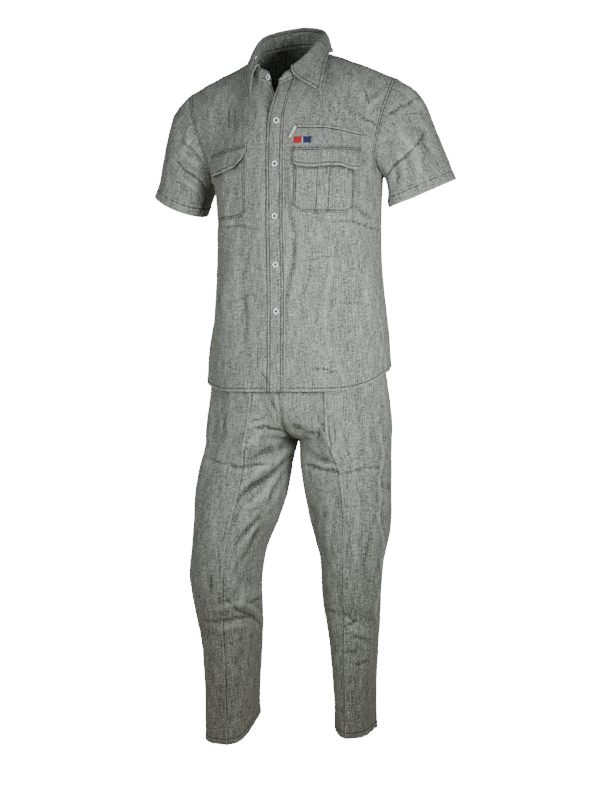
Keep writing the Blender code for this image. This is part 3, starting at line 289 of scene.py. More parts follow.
# Creases as the photograph shows them, in its pixels, with widths and heights in millimetres
CREASES_SEEN = (
    # panel, sharp; then x0, y0, x1, y1, width, height
    ("front_left", True, (
        (327, 221, 383, 228, 4.5, -1.6), (310, 369, 337, 372, 4, -1.6), (359, 114, 383, 131, 4.5, -2.6),
        (364, 88, 369, 103, 4.5, -2.2), (376, 104, 384, 116, 4, -1.6), (374, 148, 378, 168, 5, -3),
        (378, 286, 381, 366, 3.5, 1.4), (300, 262, 330, 258, 3.5, -0.8), (334, 300, 368, 306, 3.5, -0.8),
        (316, 331, 345, 326, 3, -0.7),
    )),
    ("front_left", False, (
        (349, 84, 346, 105, 7, -1.4), (366, 111, 386, 92, 8, 2), (330, 96, 352, 122, 10, 1.4),
        (288, 160, 288, 345, 8.5, -2.6), (372, 150, 360, 215, 9, 2), (366, 232, 362, 380, 9, -1.6),
        (331, 232, 327, 362, 7.5, 1.2), (309, 236, 304, 340, 7, -0.9),
    )),
    ("front_right", False, (
        (253, 97, 255, 128, 6, -1.4), (211, 90, 206, 138, 8, 1.8), (228, 92, 223, 122, 6, -1.3),
        (241, 88, 236, 140, 7, 1.1), (236, 226, 214, 376, 12, 2), (252, 222, 240, 362, 7, -1.2),
        (222, 246, 218, 330, 7, -1.4),
    )),
    ("front_right", True, (
        (259, 344, 257, 368, 3, -1.6), (259, 371, 268, 379, 3, -1.5), (218, 222, 262, 230, 4, -1.3),
        (228, 300, 256, 294, 3, -0.7), (246, 262, 263, 270, 3, -0.6),
    )),
    ("sleeve_left", True, (
        (381, 179, 411, 151, 5, -3.4), (411, 152, 427, 131, 6, -2.6), (384, 119, 401, 107, 5, -2.2),
        (400, 108, 417, 99, 6, -1.5),
    )),
    ("sleeve_left", False, (
        (402, 84, 424, 112, 11, 2.2), (408, 118, 440, 170, 11, -2), (396, 122, 424, 182, 10, 2.2),
        (391, 140, 398, 196, 8, -2),
    )),
    ("sleeve_right", True, (
        (172, 149.5, 204, 181, 4.5, -3), (176, 125.5, 201, 155, 3.5, -1.8), (202, 186, 194, 205, 3.5, -2.6),
        (209.5, 188, 210.5, 208, 4, -2.6),
    )),
    ("sleeve_right", False, (
        (171, 160, 198, 188, 6, 1.8), (174, 136, 203, 168, 8, 1.6), (186, 112, 178, 150, 8, 1.8),
    )),
    ("leg_front_right", True, (
        (250, 422, 263, 418, 4, -2.8), (255, 427.5, 284, 430, 4.5, -4), (204, 459, 236, 466, 4, -1.3),
        (232, 467, 273, 465, 4.5, -3), (204, 624, 228, 622, 3.5, -1.3), (226, 622, 250, 619, 3.5, -1.3),
        (227, 601, 266, 635, 4.2, -1.7), (250, 605, 268, 600, 4.5, -2.2), (222, 648, 252, 640, 4, -1),
    )),
    ("leg_front_right", False, (
        (270, 394, 276, 412, 6, -2), (276, 408, 283, 428, 5, -1.8), (293, 441, 242, 464, 11, -2.6),
        (292, 456, 232, 506, 7, -2.9), (292, 447, 240, 489, 8.5, 2.2), (287, 472, 234, 548, 7, -3),
        (286, 464, 238, 522, 8.5, 2.4), (277, 500, 236, 568, 6.6, -2.2), (280, 486, 240, 548, 8, 2.2),
        (262, 430, 240, 452, 10, 2.4), (226, 412, 221, 446, 5, -1.2), (213, 398, 206, 440, 6, 1),
        (236, 600, 266, 624, 6, 1.4), (210, 611, 244, 604, 8, 1.8), (208, 630, 250, 628, 8, 1.5),
        (212, 570, 209, 600, 7, -1.2), (215, 660, 216, 720, 7, 1),
    )),
    ("leg_front_left", False, (
        (290, 423, 306, 430, 6, -1.7), (303, 429, 319, 436, 5.5, -1.7), (310, 461, 336, 468, 5, 2),
        (303, 444, 330, 466, 8, -1.4), (312, 500, 318, 545, 7, -1.4), (326, 488, 330, 560, 8, 1.3),
        (350, 633, 371, 642, 5, -1.6), (342, 649, 358, 652, 4.5, -1.2), (350, 664, 371, 661, 5, -1),
        (358, 500, 356, 580, 8, 1.1), (369, 520, 366, 600, 7, -1.2),
    )),
    ("leg_front_left", True, (
        (318.4, 429, 317.6, 438, 3, -2.4), (317.5, 415, 324, 431, 3, -1.8),
        (328.5, 427, 330.5, 453, 3.5, -2.8), (334, 424, 335, 446, 3, -1.6), (309, 465, 338, 472, 4, -3.2),
        (336, 472, 380, 467, 3.5, -1.5), (381, 426, 380.6, 500, 3, 1.9), (380.6, 490, 379.4, 570, 3, 1.9),
        (379.4, 560, 376, 640, 3, 1.4), (340, 611, 357, 620, 3.5, -2.2), (357, 620, 344, 626, 3.5, -1.9),
        (325, 610, 340, 613, 3.5, -1),
    )),
)
# Creases of the sides that the photograph doesn't show, in millimetres
CREASES_HIDDEN = (
    # panel, seen from, sharp; then both ends, width, height
    ("back", 180, False, (
        (-150, -85, -85, -150, 9, -2.2), (140, -80, 95, -160, 9, -2), (165, -165, 70, -230, 9, 2.6),
        (-170, -175, -60, -260, 10, 2.6), (-40, -420, -62, -700, 12, 2.6), (35, -400, 48, -690, 13, -2.6),
        (130, -380, 150, -640, 10, -2.4), (-135, -400, -150, -650, 11, 2.6),
        (-15, -140, -4, -330, 12, -1.3),
    )),
    ("back", 180, True, (
        (-165, -205, -110, -262, 6, -2.6), (168, -215, 105, -248, 6, -2.4), (-120, -345, 85, -352, 4, -1.5),
        (20, -349, 160, -338, 4, -1.2), (-90, -500, -35, -512, 4, -1.4), (60, -560, 115, -548, 4, -1.3),
        (5, -618, 55, -628, 4, -1.1),
    )),
    ("leg_back_left", 180, False, (
        (-20, -828, -110, -868, 8, -3.4), (-30, -868, -135, -905, 8, 3), (-70, -1098, -165, -1082, 7, -3.4),
        (-68, -1146, -158, -1160, 7, 3.4), (-75, -1225, -150, -1238, 7, -2.4),
        (-85, -1290, -140, -1296, 6, -1.6),
    )),
    ("leg_back_left", 180, True, (
        (-45, -930, -130, -962, 6, -2), (-90, -1166, -165, -1142, 5, -3.2),
        (-60, -866, -165, -872, 4, -1.6),
    )),
    ("leg_back_right", 180, False, (
        (12, -830, 118, -872, 8, -3.6), (30, -872, 140, -912, 8, 3), (85, -1100, 190, -1082, 7, -4),
        (90, -1152, 186, -1166, 8, 4), (92, -1236, 176, -1252, 7, -2.6), (100, -1300, 170, -1306, 6, -1.8),
    )),
    ("leg_back_right", 180, True, (
        (55, -940, 140, -968, 6, -2.2), (100, -1172, 182, -1142, 5, -3.6), (60, -868, 170, -872, 4, -1.6),
    )),
    ("sleeve_left", 180, False, (
        (-225, -110, -270, -230, 10, -2.6), (-245, -130, -310, -250, 10, 2.4),
    )),
    ("sleeve_left", 180, True, (
        (-205, -230, -260, -262, 7, -2.6),
    )),
    ("sleeve_right", 180, False, (
        (215, -110, 258, -235, 10, -2.6), (236, -120, 300, -240, 10, 2.4),
    )),
    ("sleeve_right", 180, True, (
        (200, -225, 250, -258, 7, -2.6),
    )),
    ("leg_front_left", 100, False, (
        (-60, -900, 20, -930, 9, -2.2), (-50, -1130, 20, -1150, 7, -2.6),
    )),
    ("leg_back_left", 100, False, (
        (20, -1120, 90, -1100, 7, -2.8),
    )),
    ("leg_front_right", 260, False, (
        (-10, -1150, 90, -1165, 7, -2.8),
    )),
    ("leg_back_right", 260, False, (
        (-90, -1120, -10, -1150, 7, -2.8),
    )),
    ("front_left", 90, False, (
        (-90, -330, -30, -360, 8, -1.8),
    )),
    ("front_right", 270, False, (
        (90, -330, 30, -362, 8, -1.8),
    )),
)

# Sewing on the trousers, as paths in the photograph's pixels: the fly, the centre front and a pocket mouth
STITCHING_SEEN = (
    ((293.8, 393.5), (291.5, 396.5), (288, 399), (285, 401), (282.6, 402)),
    ((279.8, 393.5), (280.4, 402), (281, 410), (282.6, 424), (286, 428)),
    ((386.0, 391), (386.6, 405), (387.0, 420), (387.0, 432)),
)
# The grids of the panels
GRIDS = {
    # stretch: its length, the widest and the finest step, how wide the fine part at a sewn end is
    "front across": (0.325, 0.0034, 0.0013, 0.011),
    "front low": (ARMPIT_Z - HEM_Z, 0.0036, 0.0014, 0.010),
    "front high": (0.26, 0.0034, 0.0014, 0.008),
    "back half": (0.31, 0.0048, 0.0014, 0.011),
    "back low": (ARMPIT_Z - HEM_Z, 0.0048, 0.0015, 0.010),
    "back high": (0.29, 0.0046, 0.0014, 0.008),
    "sleeve around": (0.42, 0.0042, 0.0042, 0.0),
    "sleeve down": (0.18, 0.0036, 0.0014, 0.010),
    "fall around": (0.42, 0.0026, 0.0012, 0.010),
    "fall out": (0.05, 0.0024, 0.0012, 0.010),
}
# Sewn lines: the edge that each follows, how far in it lies, and the stretch of the edge that has it when it
# isn't the whole edge; a height in place of the edge has a slope after it, and a stretch in metres
SHIRT_FRONT_LINES = (("bottom", HEM_FOLD["shirt"]), ("right", 0.0030, 0.52, 1.0),
                     ("right", 0.0085, 0.52, 1.0), ("top", 0.0035, 0.45, 1.0), ("right", 0.0030, 0.0, 0.5))
SEWN = {
    "front_left": (*SHIRT_FRONT_LINES, (-0.1975, -0.02, 0.100, 0.205), (-0.2035, -0.02, 0.062, 0.205)),
    "front_right": (*SHIRT_FRONT_LINES, ("left", 0.0050)),
    "back": (("bottom", HEM_FOLD["shirt"]), ("left", 0.0030), ("right", 0.0030), ("left", 0.0085, 0.52, 1.0),
             ("right", 0.0085, 0.52, 1.0), ("top", 0.0035, 0.0, 0.28), ("top", 0.0035, 0.72, 1.0)),
    "sleeve": (("bottom", HEM_FOLD["sleeve"]),),
    "leg": (("bottom", HEM_FOLD["leg"]),),
    "placket": (("left", 0.0050), ("right", 0.0030), ("right", 0.0085)),
    "pocket": tuple((edge, offset) for offset in (0.0003, 0.0050) for edge in ("left", "right", "bottom")),
    "pleat": (("left", 0.0485), ("left", 0.0745)),
    "flap": (("left", 0.0060), ("right", 0.0060), ("bottom", 0.0060), ("top", 0.0030), ("top", 0.0085)),
    "stand": (("top", 0.0025), ("bottom", 0.0090)),
    "fall": (("left", 0.0055, 0.12, 1.0), ("right", 0.0055, 0.12, 1.0), ("top", 0.0055)),
}

# Zip
ZIP_PITCH = 0.0015
ZIP_LIPS = (
    # name, lower and upper edge from the zip's middle line, edges made paler as wear and as a painted
    # highlight
    ("zip_lip_upper", 0.0009, 0.0062, ("bottom",)),
    ("zip_lip_lower", -0.0062, -0.0012, ()),
)
BOX_FACES = ((0, 1, 3, 2), (4, 6, 7, 5), (0, 4, 5, 1), (2, 3, 7, 6), (0, 2, 6, 4), (1, 5, 7, 3))

# Cloth, thread and other finishes
DARK_THREAD, LIGHT_THREAD = (0.055, 0.057, 0.047), (0.482, 0.534, 0.494)
GRAIN = (1.10, 2.20)    # the range of the thread noise that runs from dark to pale
THREADS = (
    # changes per metre across and up, detail: warp, weft, slubs up and across, specks, washed patches, seams
    (900, 150), (150, 900), (500, 30, 1.0), (55, 460, 1.0), (470, 230, 1.0), (26, 12, 3.0), (60, 60, 1.0),
)
LABEL_RED, LABEL_NAVY, LABEL_PALE = (0.32, 0.001, 0.004), (0.002, 0.008, 0.075), (0.72, 0.72, 0.74)
LABEL_BAR = 0.0007      # half the width of the pale bar
THREAD_COLOURS = {"sewing_thread": (0.20, 0.20, 0.170), "button_thread": (0.050, 0.065, 0.075)}
FINISHES = {
    # name: dark, light, speckles in a metre, roughness, metallic, depth of the relief
    "pearl_resin": ((0.90, 0.94, 0.97), (0.98, 0.985, 0.99), 240, 0.30),
    "button_middle": ((0.020, 0.036, 0.046), (0.07, 0.10, 0.12), 400, 0.35),
    # Nickel kept mostly matte: its pale diffuse colour is a painted reflection in place of the metal's bright
    # reflections
    "nickel_with_painted_reflection": ((0.80, 0.78, 0.74), (0.97, 0.96, 0.93), 900, 0.42, 0.3),
    "dark_brass": ((0.10, 0.055, 0.035), (0.22, 0.13, 0.08), 1500, 0.5, 1.0),
    "brown_tape": ((0.030, 0.012, 0.010), (0.070, 0.030, 0.022), 1500, 0.9, 0.0, 0.0002),
}

# Studio
FLOOR_COLOUR, FLOOR_Z = (0.62, 0.49, 0.29), -1.537
FLOOR_SIZE = (6.0, 3.2, 5.0)  # half its width, how far back it goes, how high it bends up
AMBIENT, BACKDROP = 0.20, 18.0
LIGHTS = (
    # name, azimuth, distance, height, size, watts, aim height, spread_deg
    ("key", 44, 1.35, -0.52, 0.5, 7.6, -0.52, 98),
    ("fill", -30, 1.5, -0.52, 1.0, 4.2, -0.52, 98),
    ("back", 200, 1.8, -0.40, 1.2, 18, -0.55, 150),
)


# Curves

def hermite(p0, d0, p1, d1, t):
    """From p0, leaving along d0, to p1, arriving along d1."""
    t = np.asarray(t, float)[..., None]
    return (p0 * (2 * t**3 - 3 * t**2 + 1) + d0 * (t**3 - 2 * t**2 + t)
            + p1 * (3 * t**2 - 2 * t**3) + d1 * (t**3 - t**2))


def smooth(table, at):
    """A table's columns at the places `at` of its first column, on a smooth curve through its rows."""
    rows = np.array(table, float)
    rows = rows[np.argsort(rows[:, 0])]
    x, values = rows[:, 0], rows[:, 1:]
    slope = np.gradient(values, x, axis=0)
    at = np.clip(np.asarray(at, float), x[0], x[-1])
    i = np.clip(np.searchsorted(x, at, side="right") - 1, 0, len(x) - 2)
    h = (x[i + 1] - x[i])[..., None]
    return hermite(values[i], slope[i] * h, values[i + 1], slope[i + 1] * h, (at - x[i]) / h[..., 0])


def curve(points, at):
    """A smooth curve through points, at the places `at` counted from the first point."""
    return smooth([(i, *p) for i, p in enumerate(points)], at)


def interpolated(at, places, values):
    """The columns of `values`, which stand at `places`, at the places `at`."""
    return np.stack([np.interp(at, places, column) for column in np.asarray(values).T], axis=-1)


def length_along(points):
    """Distance along a path from its first point."""
    return np.concatenate([[0], np.cumsum(np.linalg.norm(np.diff(points, axis=0), axis=1))])


def ease(t):
    t = np.clip(t, 0, 1)
    return t * t * (3 - 2 * t)


def bell(offset):
    return np.exp(-(offset**2))


def vec(*parts):
    return np.stack(np.broadcast_arrays(*parts), axis=-1).astype(float)


def length(v):
    return np.linalg.norm(v, axis=-1)[..., None]


def unit(v):
    return v / np.maximum(length(v), 1e-9)


def sign_of(side):
    return 1 if side == "left" else -1


def on_side(points, side):
    """Points made for the wearer's left, on the side asked for."""
    return np.asarray(points, float) * np.array([sign_of(side), 1, 1])


def grid(columns, rows):
    """Values from 0 to 1 across and up a panel."""
    return np.meshgrid(np.linspace(0, 1, columns + 1), np.linspace(0, 1, rows + 1))


# The shirt's body

def shirt_ring(phi, z):
    """The shirt at phi degrees from centre front towards the wearer's left, in the row of height z."""
    centre, half, front, back = np.moveaxis(smooth(SHIRT_SECTIONS, z), -1, 0)
    turn = np.radians(phi)
    rise = np.where(phi > 0, HEM_RISE["left"], HEM_RISE["right"])
    lift = rise * np.sin(np.radians(np.clip(np.abs(phi) - HEM_RISE_START_DEG, 0, 180))) ** 4
    drop = BACK_HEM_DROP * np.clip(-np.cos(turn), 0, 1)
    fade = 1 - ease((z - HEM_Z) / HEM_RISE_FADE)
    depth = np.where(np.cos(turn) > 0, front, back)
    return vec(centre + half * np.sin(turn), -depth * np.cos(turn), z + (lift - drop) * fade)


def tip(side):
    return on_side(ARMHOLE[4], side) + np.array(SHOULDER_MOVE[side])


def armhole(where, t):
    """The armhole's edge on the wearer's left, from the armpit (0) to the shoulder tip (1)."""
    place = 4 * np.asarray(t, float) if where == "front" else 8 - 4 * np.asarray(t, float)
    return smooth([(i, *ARMHOLE[i % 8]) for i in range(-2, 11)], place)


def top_edge(side, where, u):
    """Neckline and shoulder seam, for u from the middle of the body (0) to the shoulder tip (1)."""
    start = {"back": 5.0, "front": 0.0 if side == "left" else 10.0}[where]
    end, neck = SHOULDER_NECK[side], NECK_SHARE[where]
    round_neck = curve(NECKLINE, start + (end - start) * np.clip(u / neck, 0, 1))
    share = np.clip((u - neck) / (1 - neck), 0, 1)[..., None]
    return round_neck + (tip(side) - curve(NECKLINE, end)) * share


def spread(side, where, points):
    """The open neck: the fronts move apart above the first button, and the left edge rolls."""
    if where == "back":
        return points
    edge, top, move, roll = NECK_OPENING[side]
    x, z = points[..., 0], points[..., 2]
    open_ = np.clip((z - OPEN_FROM_Z) / (top - OPEN_FROM_Z), 0, 1.2) * (1 - ease((z - top) / 0.03))
    near = np.clip(1 - np.abs(x - edge) / LAPEL_WIDTH, 0, 1) ** 1.5
    return points + vec(move * open_ * near, -roll * open_ * near**2, 0.0)


def body(side, where, u, v):
    """A shirt panel's middle surface. u runs from the middle to the side seam and armhole,
    v from the hem (0) through the armpit (1) to the neck and shoulder (2)."""
    u, v = np.broadcast_arrays(np.asarray(u, float), np.asarray(v, float))
    sign = sign_of(side)
    z = HEM_Z + (ARMPIT_Z - HEM_Z) * np.clip(v, 0, 1)
    t = np.clip(v - 1, 0, 1)
    leave, neck, seam = (np.array([0, *direction]) for direction in DRAPE[where])

    def ring(z, u):
        half_width = smooth(SHIRT_SECTIONS, z)[..., 1]
        start = 180 if where == "back" else -np.degrees(np.arcsin(PLACKET / 2 / half_width))
        return shirt_ring(sign * (start + (SIDE_SEAM_DEG - start) * u), z)

    def rise(u):
        base = ring(np.full(np.shape(u), ARMPIT_Z), u)
        top = top_edge(side, where, u)
        span = length(top - base)
        at_neck = 1 - ease(u / NECK_SHARE[where] / 1.9)[..., None]
        return hermite(base, leave * span, top, (at_neck * neck + (1 - at_neck) * seam) * span, t)

    end = 1 - SCOOP[where] * ease(t / 0.28) * (1 - ease((t - 0.35) / 0.65))
    hole = on_side(armhole(where, t), side) + t[..., None] * np.array(SHOULDER_MOVE[side])
    high = rise(u * end) + (hole - rise(end)) * (u**3)[..., None]
    points = np.where((v > 1)[..., None], high, ring(z, u))
    if where == "front" and side == "right":
        across = points[..., 0] - smooth(SHIRT_SECTIONS, z)[..., 0]
        behind = (UNDERLAP + 0.003 * ease(t / 0.5)) * ease((across + PLACKET / 2 + 0.014) / 0.014)
        points = points + vec(0, behind, 0)
    return spread(side, where, points)


def normals(points, outward):
    """The direction across each place of a grid of points, on the side where `outward` lies."""
    n = unit(np.cross(np.gradient(points, axis=1), np.gradient(points, axis=0)))
    flip = np.sign(np.sum(n * np.asarray(outward, float), axis=-1))[..., None]
    return n * np.where(flip == 0, 1, flip)


def trim(points, **amounts):
    """A grid of points with its edges drawn back into the panel."""
    out = points.copy()
    for name, amount in amounts.items():
        edge, inner = EDGE_LINES[name]
        out[edge] = out[edge] + unit(out[inner] - out[edge]) * amount
    return out


# Sleeves

def sleeve(side, around, down):
    """A sleeve's tube: around from the shoulder (0) by the front (0.25) and armpit (0.5) to the back (0.75),
    down from the armhole (0) to the hem (1)."""
    around, down = np.broadcast_arrays(np.asarray(around, float), np.asarray(down, float))
    t = around % 1.0
    up = np.where(t <= 0.5, 1 - 2 * t, 2 * t - 1)
    start = np.where((t <= 0.5)[..., None], armhole("front", up), armhole("back", up))
    outer, inner = np.array(SLEEVE_OUTER[side]), np.array(SLEEVE_INNER)
    centre, long_axis = (outer + inner) / 2, (outer - inner) / 2
    hang = centre - np.array(SLEEVE_MIDDLE)
    forward = unit(np.cross(long_axis, hang)) * SLEEVE_HALF_DEPTH
    forward = forward * -np.sign(forward[1]) - np.array([0, 0, SLEEVE_FRONT_DROP])
    turn = (2 * np.pi * t)[..., None]
    end = centre + long_axis * np.cos(turn) + forward * np.sin(turn)
    top = (0.5 + 0.5 * np.cos(turn)) ** 1.5
    leave = unit(top * np.array(SLEEVE_LEAVES["shoulder"]) + (1 - top) * np.array(SLEEVE_LEAVES["armpit"]))
    arrive = unit(unit(hang) + 0.12 * (0.5 - 0.5 * np.cos(turn)) * np.array([-1, 0, 0]))
    span = length(end - start)
    points = hermite(start + leave * SLEEVE_GAP, leave * span * 1.05, end, arrive * span * 0.95, down)
    move = (up + (1 - up) * ease(down))[..., None]
    return on_side(points, side) + move * np.array(SHOULDER_MOVE[side])


# The collar

def neck_place(place):
    """The neckline with the neck open."""
    p, at = curve(NECKLINE, place), np.asarray(place)[..., None]
    return np.where(at < 4, spread("left", "front", p), np.where(at > 6, spread("right", "front", p), p))


def stand(place, up):
    """The collar's stand, from the neckline (0) to its top edge (1)."""
    place, up = np.broadcast_arrays(np.asarray(place, float), np.asarray(up, float))
    height, lean = np.moveaxis(smooth(STAND_HEIGHTS, place), -1, 0)
    base = neck_place(place)
    height = height * (0.62 + 0.38 * ease(np.minimum(place, 10 - place) / 0.35))
    inward = unit(NECK_MIDDLE - base * LEVEL)
    return base + vec(0, 0, STAND_GAP + (height - STAND_GAP) * up) + inward * (lean * height * up)[..., None]


def fall(place, out):
    """The turned-down collar, from the top of the stand (0) to its outer edge (1)."""
    place, out = np.broadcast_arrays(np.asarray(place, float), np.asarray(out, float))
    top, edge = stand(place, 1.0), smooth(FALL_EDGE, place)
    outward = unit((top - NECK_MIDDLE) * LEVEL)
    start = top + vec(0, 0, SEAM + 0.0008) + outward * 0.0002
    over = start + outward * 0.0075 + vec(0, 0, 0.0005)
    first = hermite(start, vec(0, 0, 0.020) + outward * 0.002, over, vec(0, 0, -0.014) + outward * 0.010,
                    np.clip(out / FALL_ROLL, 0, 1))
    second = hermite(over, (vec(0, 0, -0.90) + outward * 0.55) * length(edge - over), edge,
                     (edge - over) + outward * 0.006, np.clip((out - FALL_ROLL) / (1 - FALL_ROLL), 0, 1))
    return np.where((out <= FALL_ROLL)[..., None], first, second)


# Trousers

def crease_in(side, z):
    return CREASE_IN[side] * ease((z + 1.04) / 0.30) * ease((-0.56 - z) / 0.12)


def leg_rows(side):
    """The five corner points of every section of one leg, from the hem to the waist:
    inner front, front crease, side seam, back crease, inner back; and how far each row turns."""
    rows = []
    for z, outward, back, half_width, half_depth, turn, rise_in, rise_out in LEGS[side]:
        a = math.radians(turn)
        across = np.array([math.cos(a), math.sin(a), 0])
        ahead = np.array([math.sin(a), -math.cos(a), 0])
        centre = np.array([outward, back, z])
        inner = centre - across * half_width + [0, 0, rise_in]
        crease = centre + ahead * half_depth - across * crease_in(side, z)
        outer = centre + across * half_width + [0, 0, rise_out]
        back_crease = centre - ahead * half_depth + [0, 0, rise_in * 0.2]
        turns = [90 - turn, 90 + turn, turn]
        rows.append(np.concatenate([[z], inner, crease, outer, back_crease, inner, turns]))
    for z, *front, crease_x, crease_y, side_x, back_crease_y, back_y, back_z, back_deg in SEAT:
        front_y, front_z, front_deg = front
        moved = crease_in(side, z)
        wider = HIP_OUT[side] * (1 - ease((z + 0.80) / 0.09))
        rows.append(np.array([
            z, 0, front_y, front_z, crease_x - moved, crease_y * (1 + 2.2 * moved), (z + front_z) / 2,
            side_x + wider, 0, z, crease_x, back_crease_y, (z + back_z) / 2, 0, back_y, back_z,
            front_deg, back_deg, 0,
        ]))
    return rows


def leg(side, where, u, v):
    """A trouser panel's middle surface: u from the inner seam (0) by the crease (0.5) to the side seam (1),
    v is the height of the row at the side seam."""
    u, v = np.broadcast_arrays(np.asarray(u, float), np.asarray(v, float))
    rows, crotch = leg_rows(side), SEAT[0][0]
    row = smooth(rows, v)
    inside = np.where((v <= crotch)[..., None], smooth([r for r in rows if r[0] <= crotch], v),
                      smooth([r for r in rows if r[0] >= crotch], v))
    for columns in (slice(0, 3), slice(12, 17)):
        row[..., columns] = inside[..., columns]
    corners = [row[..., 3 * i:3 * i + 3] for i in range(5)]
    inner, crease, outer = corners[:3] if where == "front" else corners[:1:-1]
    ahead = -1.0 if where == "front" else 1.0
    angle = np.radians(row[..., 15 if where == "front" else 16])
    turn = np.radians(row[..., 17])
    gather = (np.radians(CREASE_DEG) * (1 - ease((v + 0.72) / 0.08)))[..., None]
    out, fore = vec(np.cos(turn), np.sin(turn), 0), -ahead * vec(np.sin(turn), -np.cos(turn), 0)
    at_inner = vec(np.cos(angle), ahead * np.sin(angle), 0)
    into_crease, from_crease = (out * np.cos(gather) + sign * fore * np.sin(gather) for sign in (1, -1))
    span1, span2 = length(crease - inner), length(outer - crease)
    first = hermite(inner, at_inner * span1 * 1.17, crease, into_crease * span1 * 1.05, np.clip(u * 2, 0, 1))
    second = hermite(crease, from_crease * span2 * 1.05, outer, -fore * span2 * 1.17,
                     np.clip(u * 2 - 1, 0, 1))
    gap = ease((v - LEGS[side][-1][0]) / 0.05) * (CLOTH / 2 * np.abs(np.sin(angle)))
    points = np.where((u <= 0.5)[..., None], first, second) + vec(gap * (1 - u), 0, 0)
    return on_side(points, side) + np.array([TROUSERS_SHIFT, 0, 0])


def waist(side_angle, up):
    """The waistband, round the waist from the left of centre front."""
    turn, shrink = np.radians(side_angle), 1 - 0.02 * up
    depth = np.where(np.cos(turn) > 0, WAIST["front"], WAIST["back"])
    across = WAIST["half"] * shrink * np.sin(turn) * (1 + 0.02 * np.cos(turn) ** 2)
    return vec(TROUSERS_SHIFT + across, -depth * shrink * np.cos(turn),
               SEAT[-1][0] + SEAM / 3 + (WAIST["height"] - SEAM / 3) * up)


# Grids of cloth

def places(total, step, fine, width, ends=(True, True)):
    """Places from 0 to 1 along a length of cloth, closer together near the ends that are sewn."""
    at, out = 0.0, [0.0]
    while at < total:
        near = min(at if ends[0] else total, total - at if ends[1] else total)
        at += min(step, fine + 0.3 * max(0.0, near - width))
        out.append(at)
    return np.array(out) / out[-1]


def arc(points, axis):
    """Distance along the cloth from the grid's first row or column."""
    step = np.linalg.norm(np.diff(points, axis=axis), axis=-1)
    first = np.zeros_like(np.take(step, [0], axis=axis))
    return np.concatenate([first, np.cumsum(step, axis=axis)], axis=axis)


def edges(points):
    """How far each point lies from the grid's four edges, along the cloth."""
    across, up = arc(points, 1), arc(points, 0)
    return {"left": across, "right": across[:, -1:] - across, "bottom": up, "top": up[-1:] - up}


def rim(away):
    """How far in from the sides and the top edge each point lies, and how far along them."""
    inward = np.minimum(np.minimum(away["left"], away["right"]), away["top"])
    return inward, np.where(away["top"] <= inward + 1e-9, away["left"], away["top"])


def waves(points, size, seed, count=16, tall=1.0):
    """A smooth uneven field through space, about 1 high, with swellings of a given size."""
    random = np.random.default_rng(seed)
    directions = unit(random.normal(size=(count, 3)))
    phases = random.uniform(0, 2 * np.pi, count)
    sizes = size * random.uniform(0.6, 1.7, count)
    turns = (points * np.array([1, 1, 1 / tall])) @ (directions / sizes[:, None]).T
    return np.sin(2 * np.pi * turns + phases).sum(axis=-1) / math.sqrt(count / 2)


def creased(points, size, seed, tall, sharp=5.0):
    """Thin uneven ridges that wander over the cloth, from 0 to 1 high."""
    return np.exp(-sharp * np.abs(waves(points, size, seed, tall=tall)))


def crumple(points):
    """The washed cloth's own unevenness: soft vertical drape, small wrinkles and fine crumples."""
    soft = 0.0016 * waves(points, 0.115, 3, tall=2.6)
    drape = 0.0007 * waves(points, 0.045, 11, tall=4.5)
    patches = np.clip(0.55 + 0.45 * waves(points, 0.16, 29, tall=1.5), 0.1, 1.4)
    grooves, ridges = creased(points, 0.085, 5, 2.2), creased(points, 0.060, 17, 1.2, 6.0)
    fine = 0.00022 * waves(points, 0.014, 23, tall=2.5)
    return soft + drape + patches * (-0.0009 * grooves + 0.0006 * ridges) + fine


def puckers(points, along, away, middle, spread_, seed, uneven=2.0):
    """The small cross ridges beside a sewn line, by the distances along it and away from an edge."""
    beat = np.sin(2 * np.pi * along / PUCKER + uneven * waves(points, 0.03, seed))
    return beat * bell((away - middle) / spread_)


def hand_placed(name):
    """A panel's folds and creases: the angle each is seen from, its ends, width, height and sharpness."""
    for table, strength in ((FOLDS, 1.0), (CREASES_HIDDEN, CREASE_STRENGTH)):
        for panel, seen_from, sharp, rows in table:
            for *places_and_width, height in rows if panel == name else ():
                yield seen_from, *(MM * value for value in places_and_width), strength * MM * height, sharp
    for panel, sharp, rows in CREASES_SEEN:
        for *ends, width, height in rows if panel == name else ():
            x0, x1 = ((x - PHOTO_MIDDLE) * METRES_PER_PIXEL for x in ends[::2])
            z0, z1 = (EYE_Z - (y - PHOTO_HORIZON) * METRES_PER_PIXEL for y in ends[1::2])
            yield VIEW_DEG, x0, z0, x1, z1, MM * width, CREASE_STRENGTH * MM * height, sharp


def by_hand(points, directions, name):
    """Height of the listed folds and creases that a panel has."""
    height = np.zeros(points.shape[:2])
    for seen_from, x0, z0, x1, z1, width, rise, sharp in hand_placed(name):
        a = math.radians(seen_from)
        right, towards = np.array([math.cos(a), math.sin(a), 0]), np.array([math.sin(a), -math.cos(a), 0])
        place, run = vec(points @ right - x0, points[..., 2] - z0), np.array([x1 - x0, z1 - z0])
        span = np.linalg.norm(run)
        share = (place @ run) / span**2
        inside = np.clip(share, 0, 1)
        wander = 0.14 * span * np.sin(7 * share + 31 * x0 + 17 * z1) * inside * np.clip(1 - share, 0, 1)
        off = (place @ np.array([-run[1], run[0]])) / span + wander
        away = np.hypot(off, span * np.maximum(0, np.maximum(-share, share - 1))) / width
        facing = np.clip(3 * (directions @ towards), 0, 1)
        profile, blunt = (np.exp(-1.6 * away), 0.45) if sharp else (bell(away), 0.10)
        height += rise * profile * facing * (blunt + (1 - blunt) * np.sin(np.pi * inside))
    return height


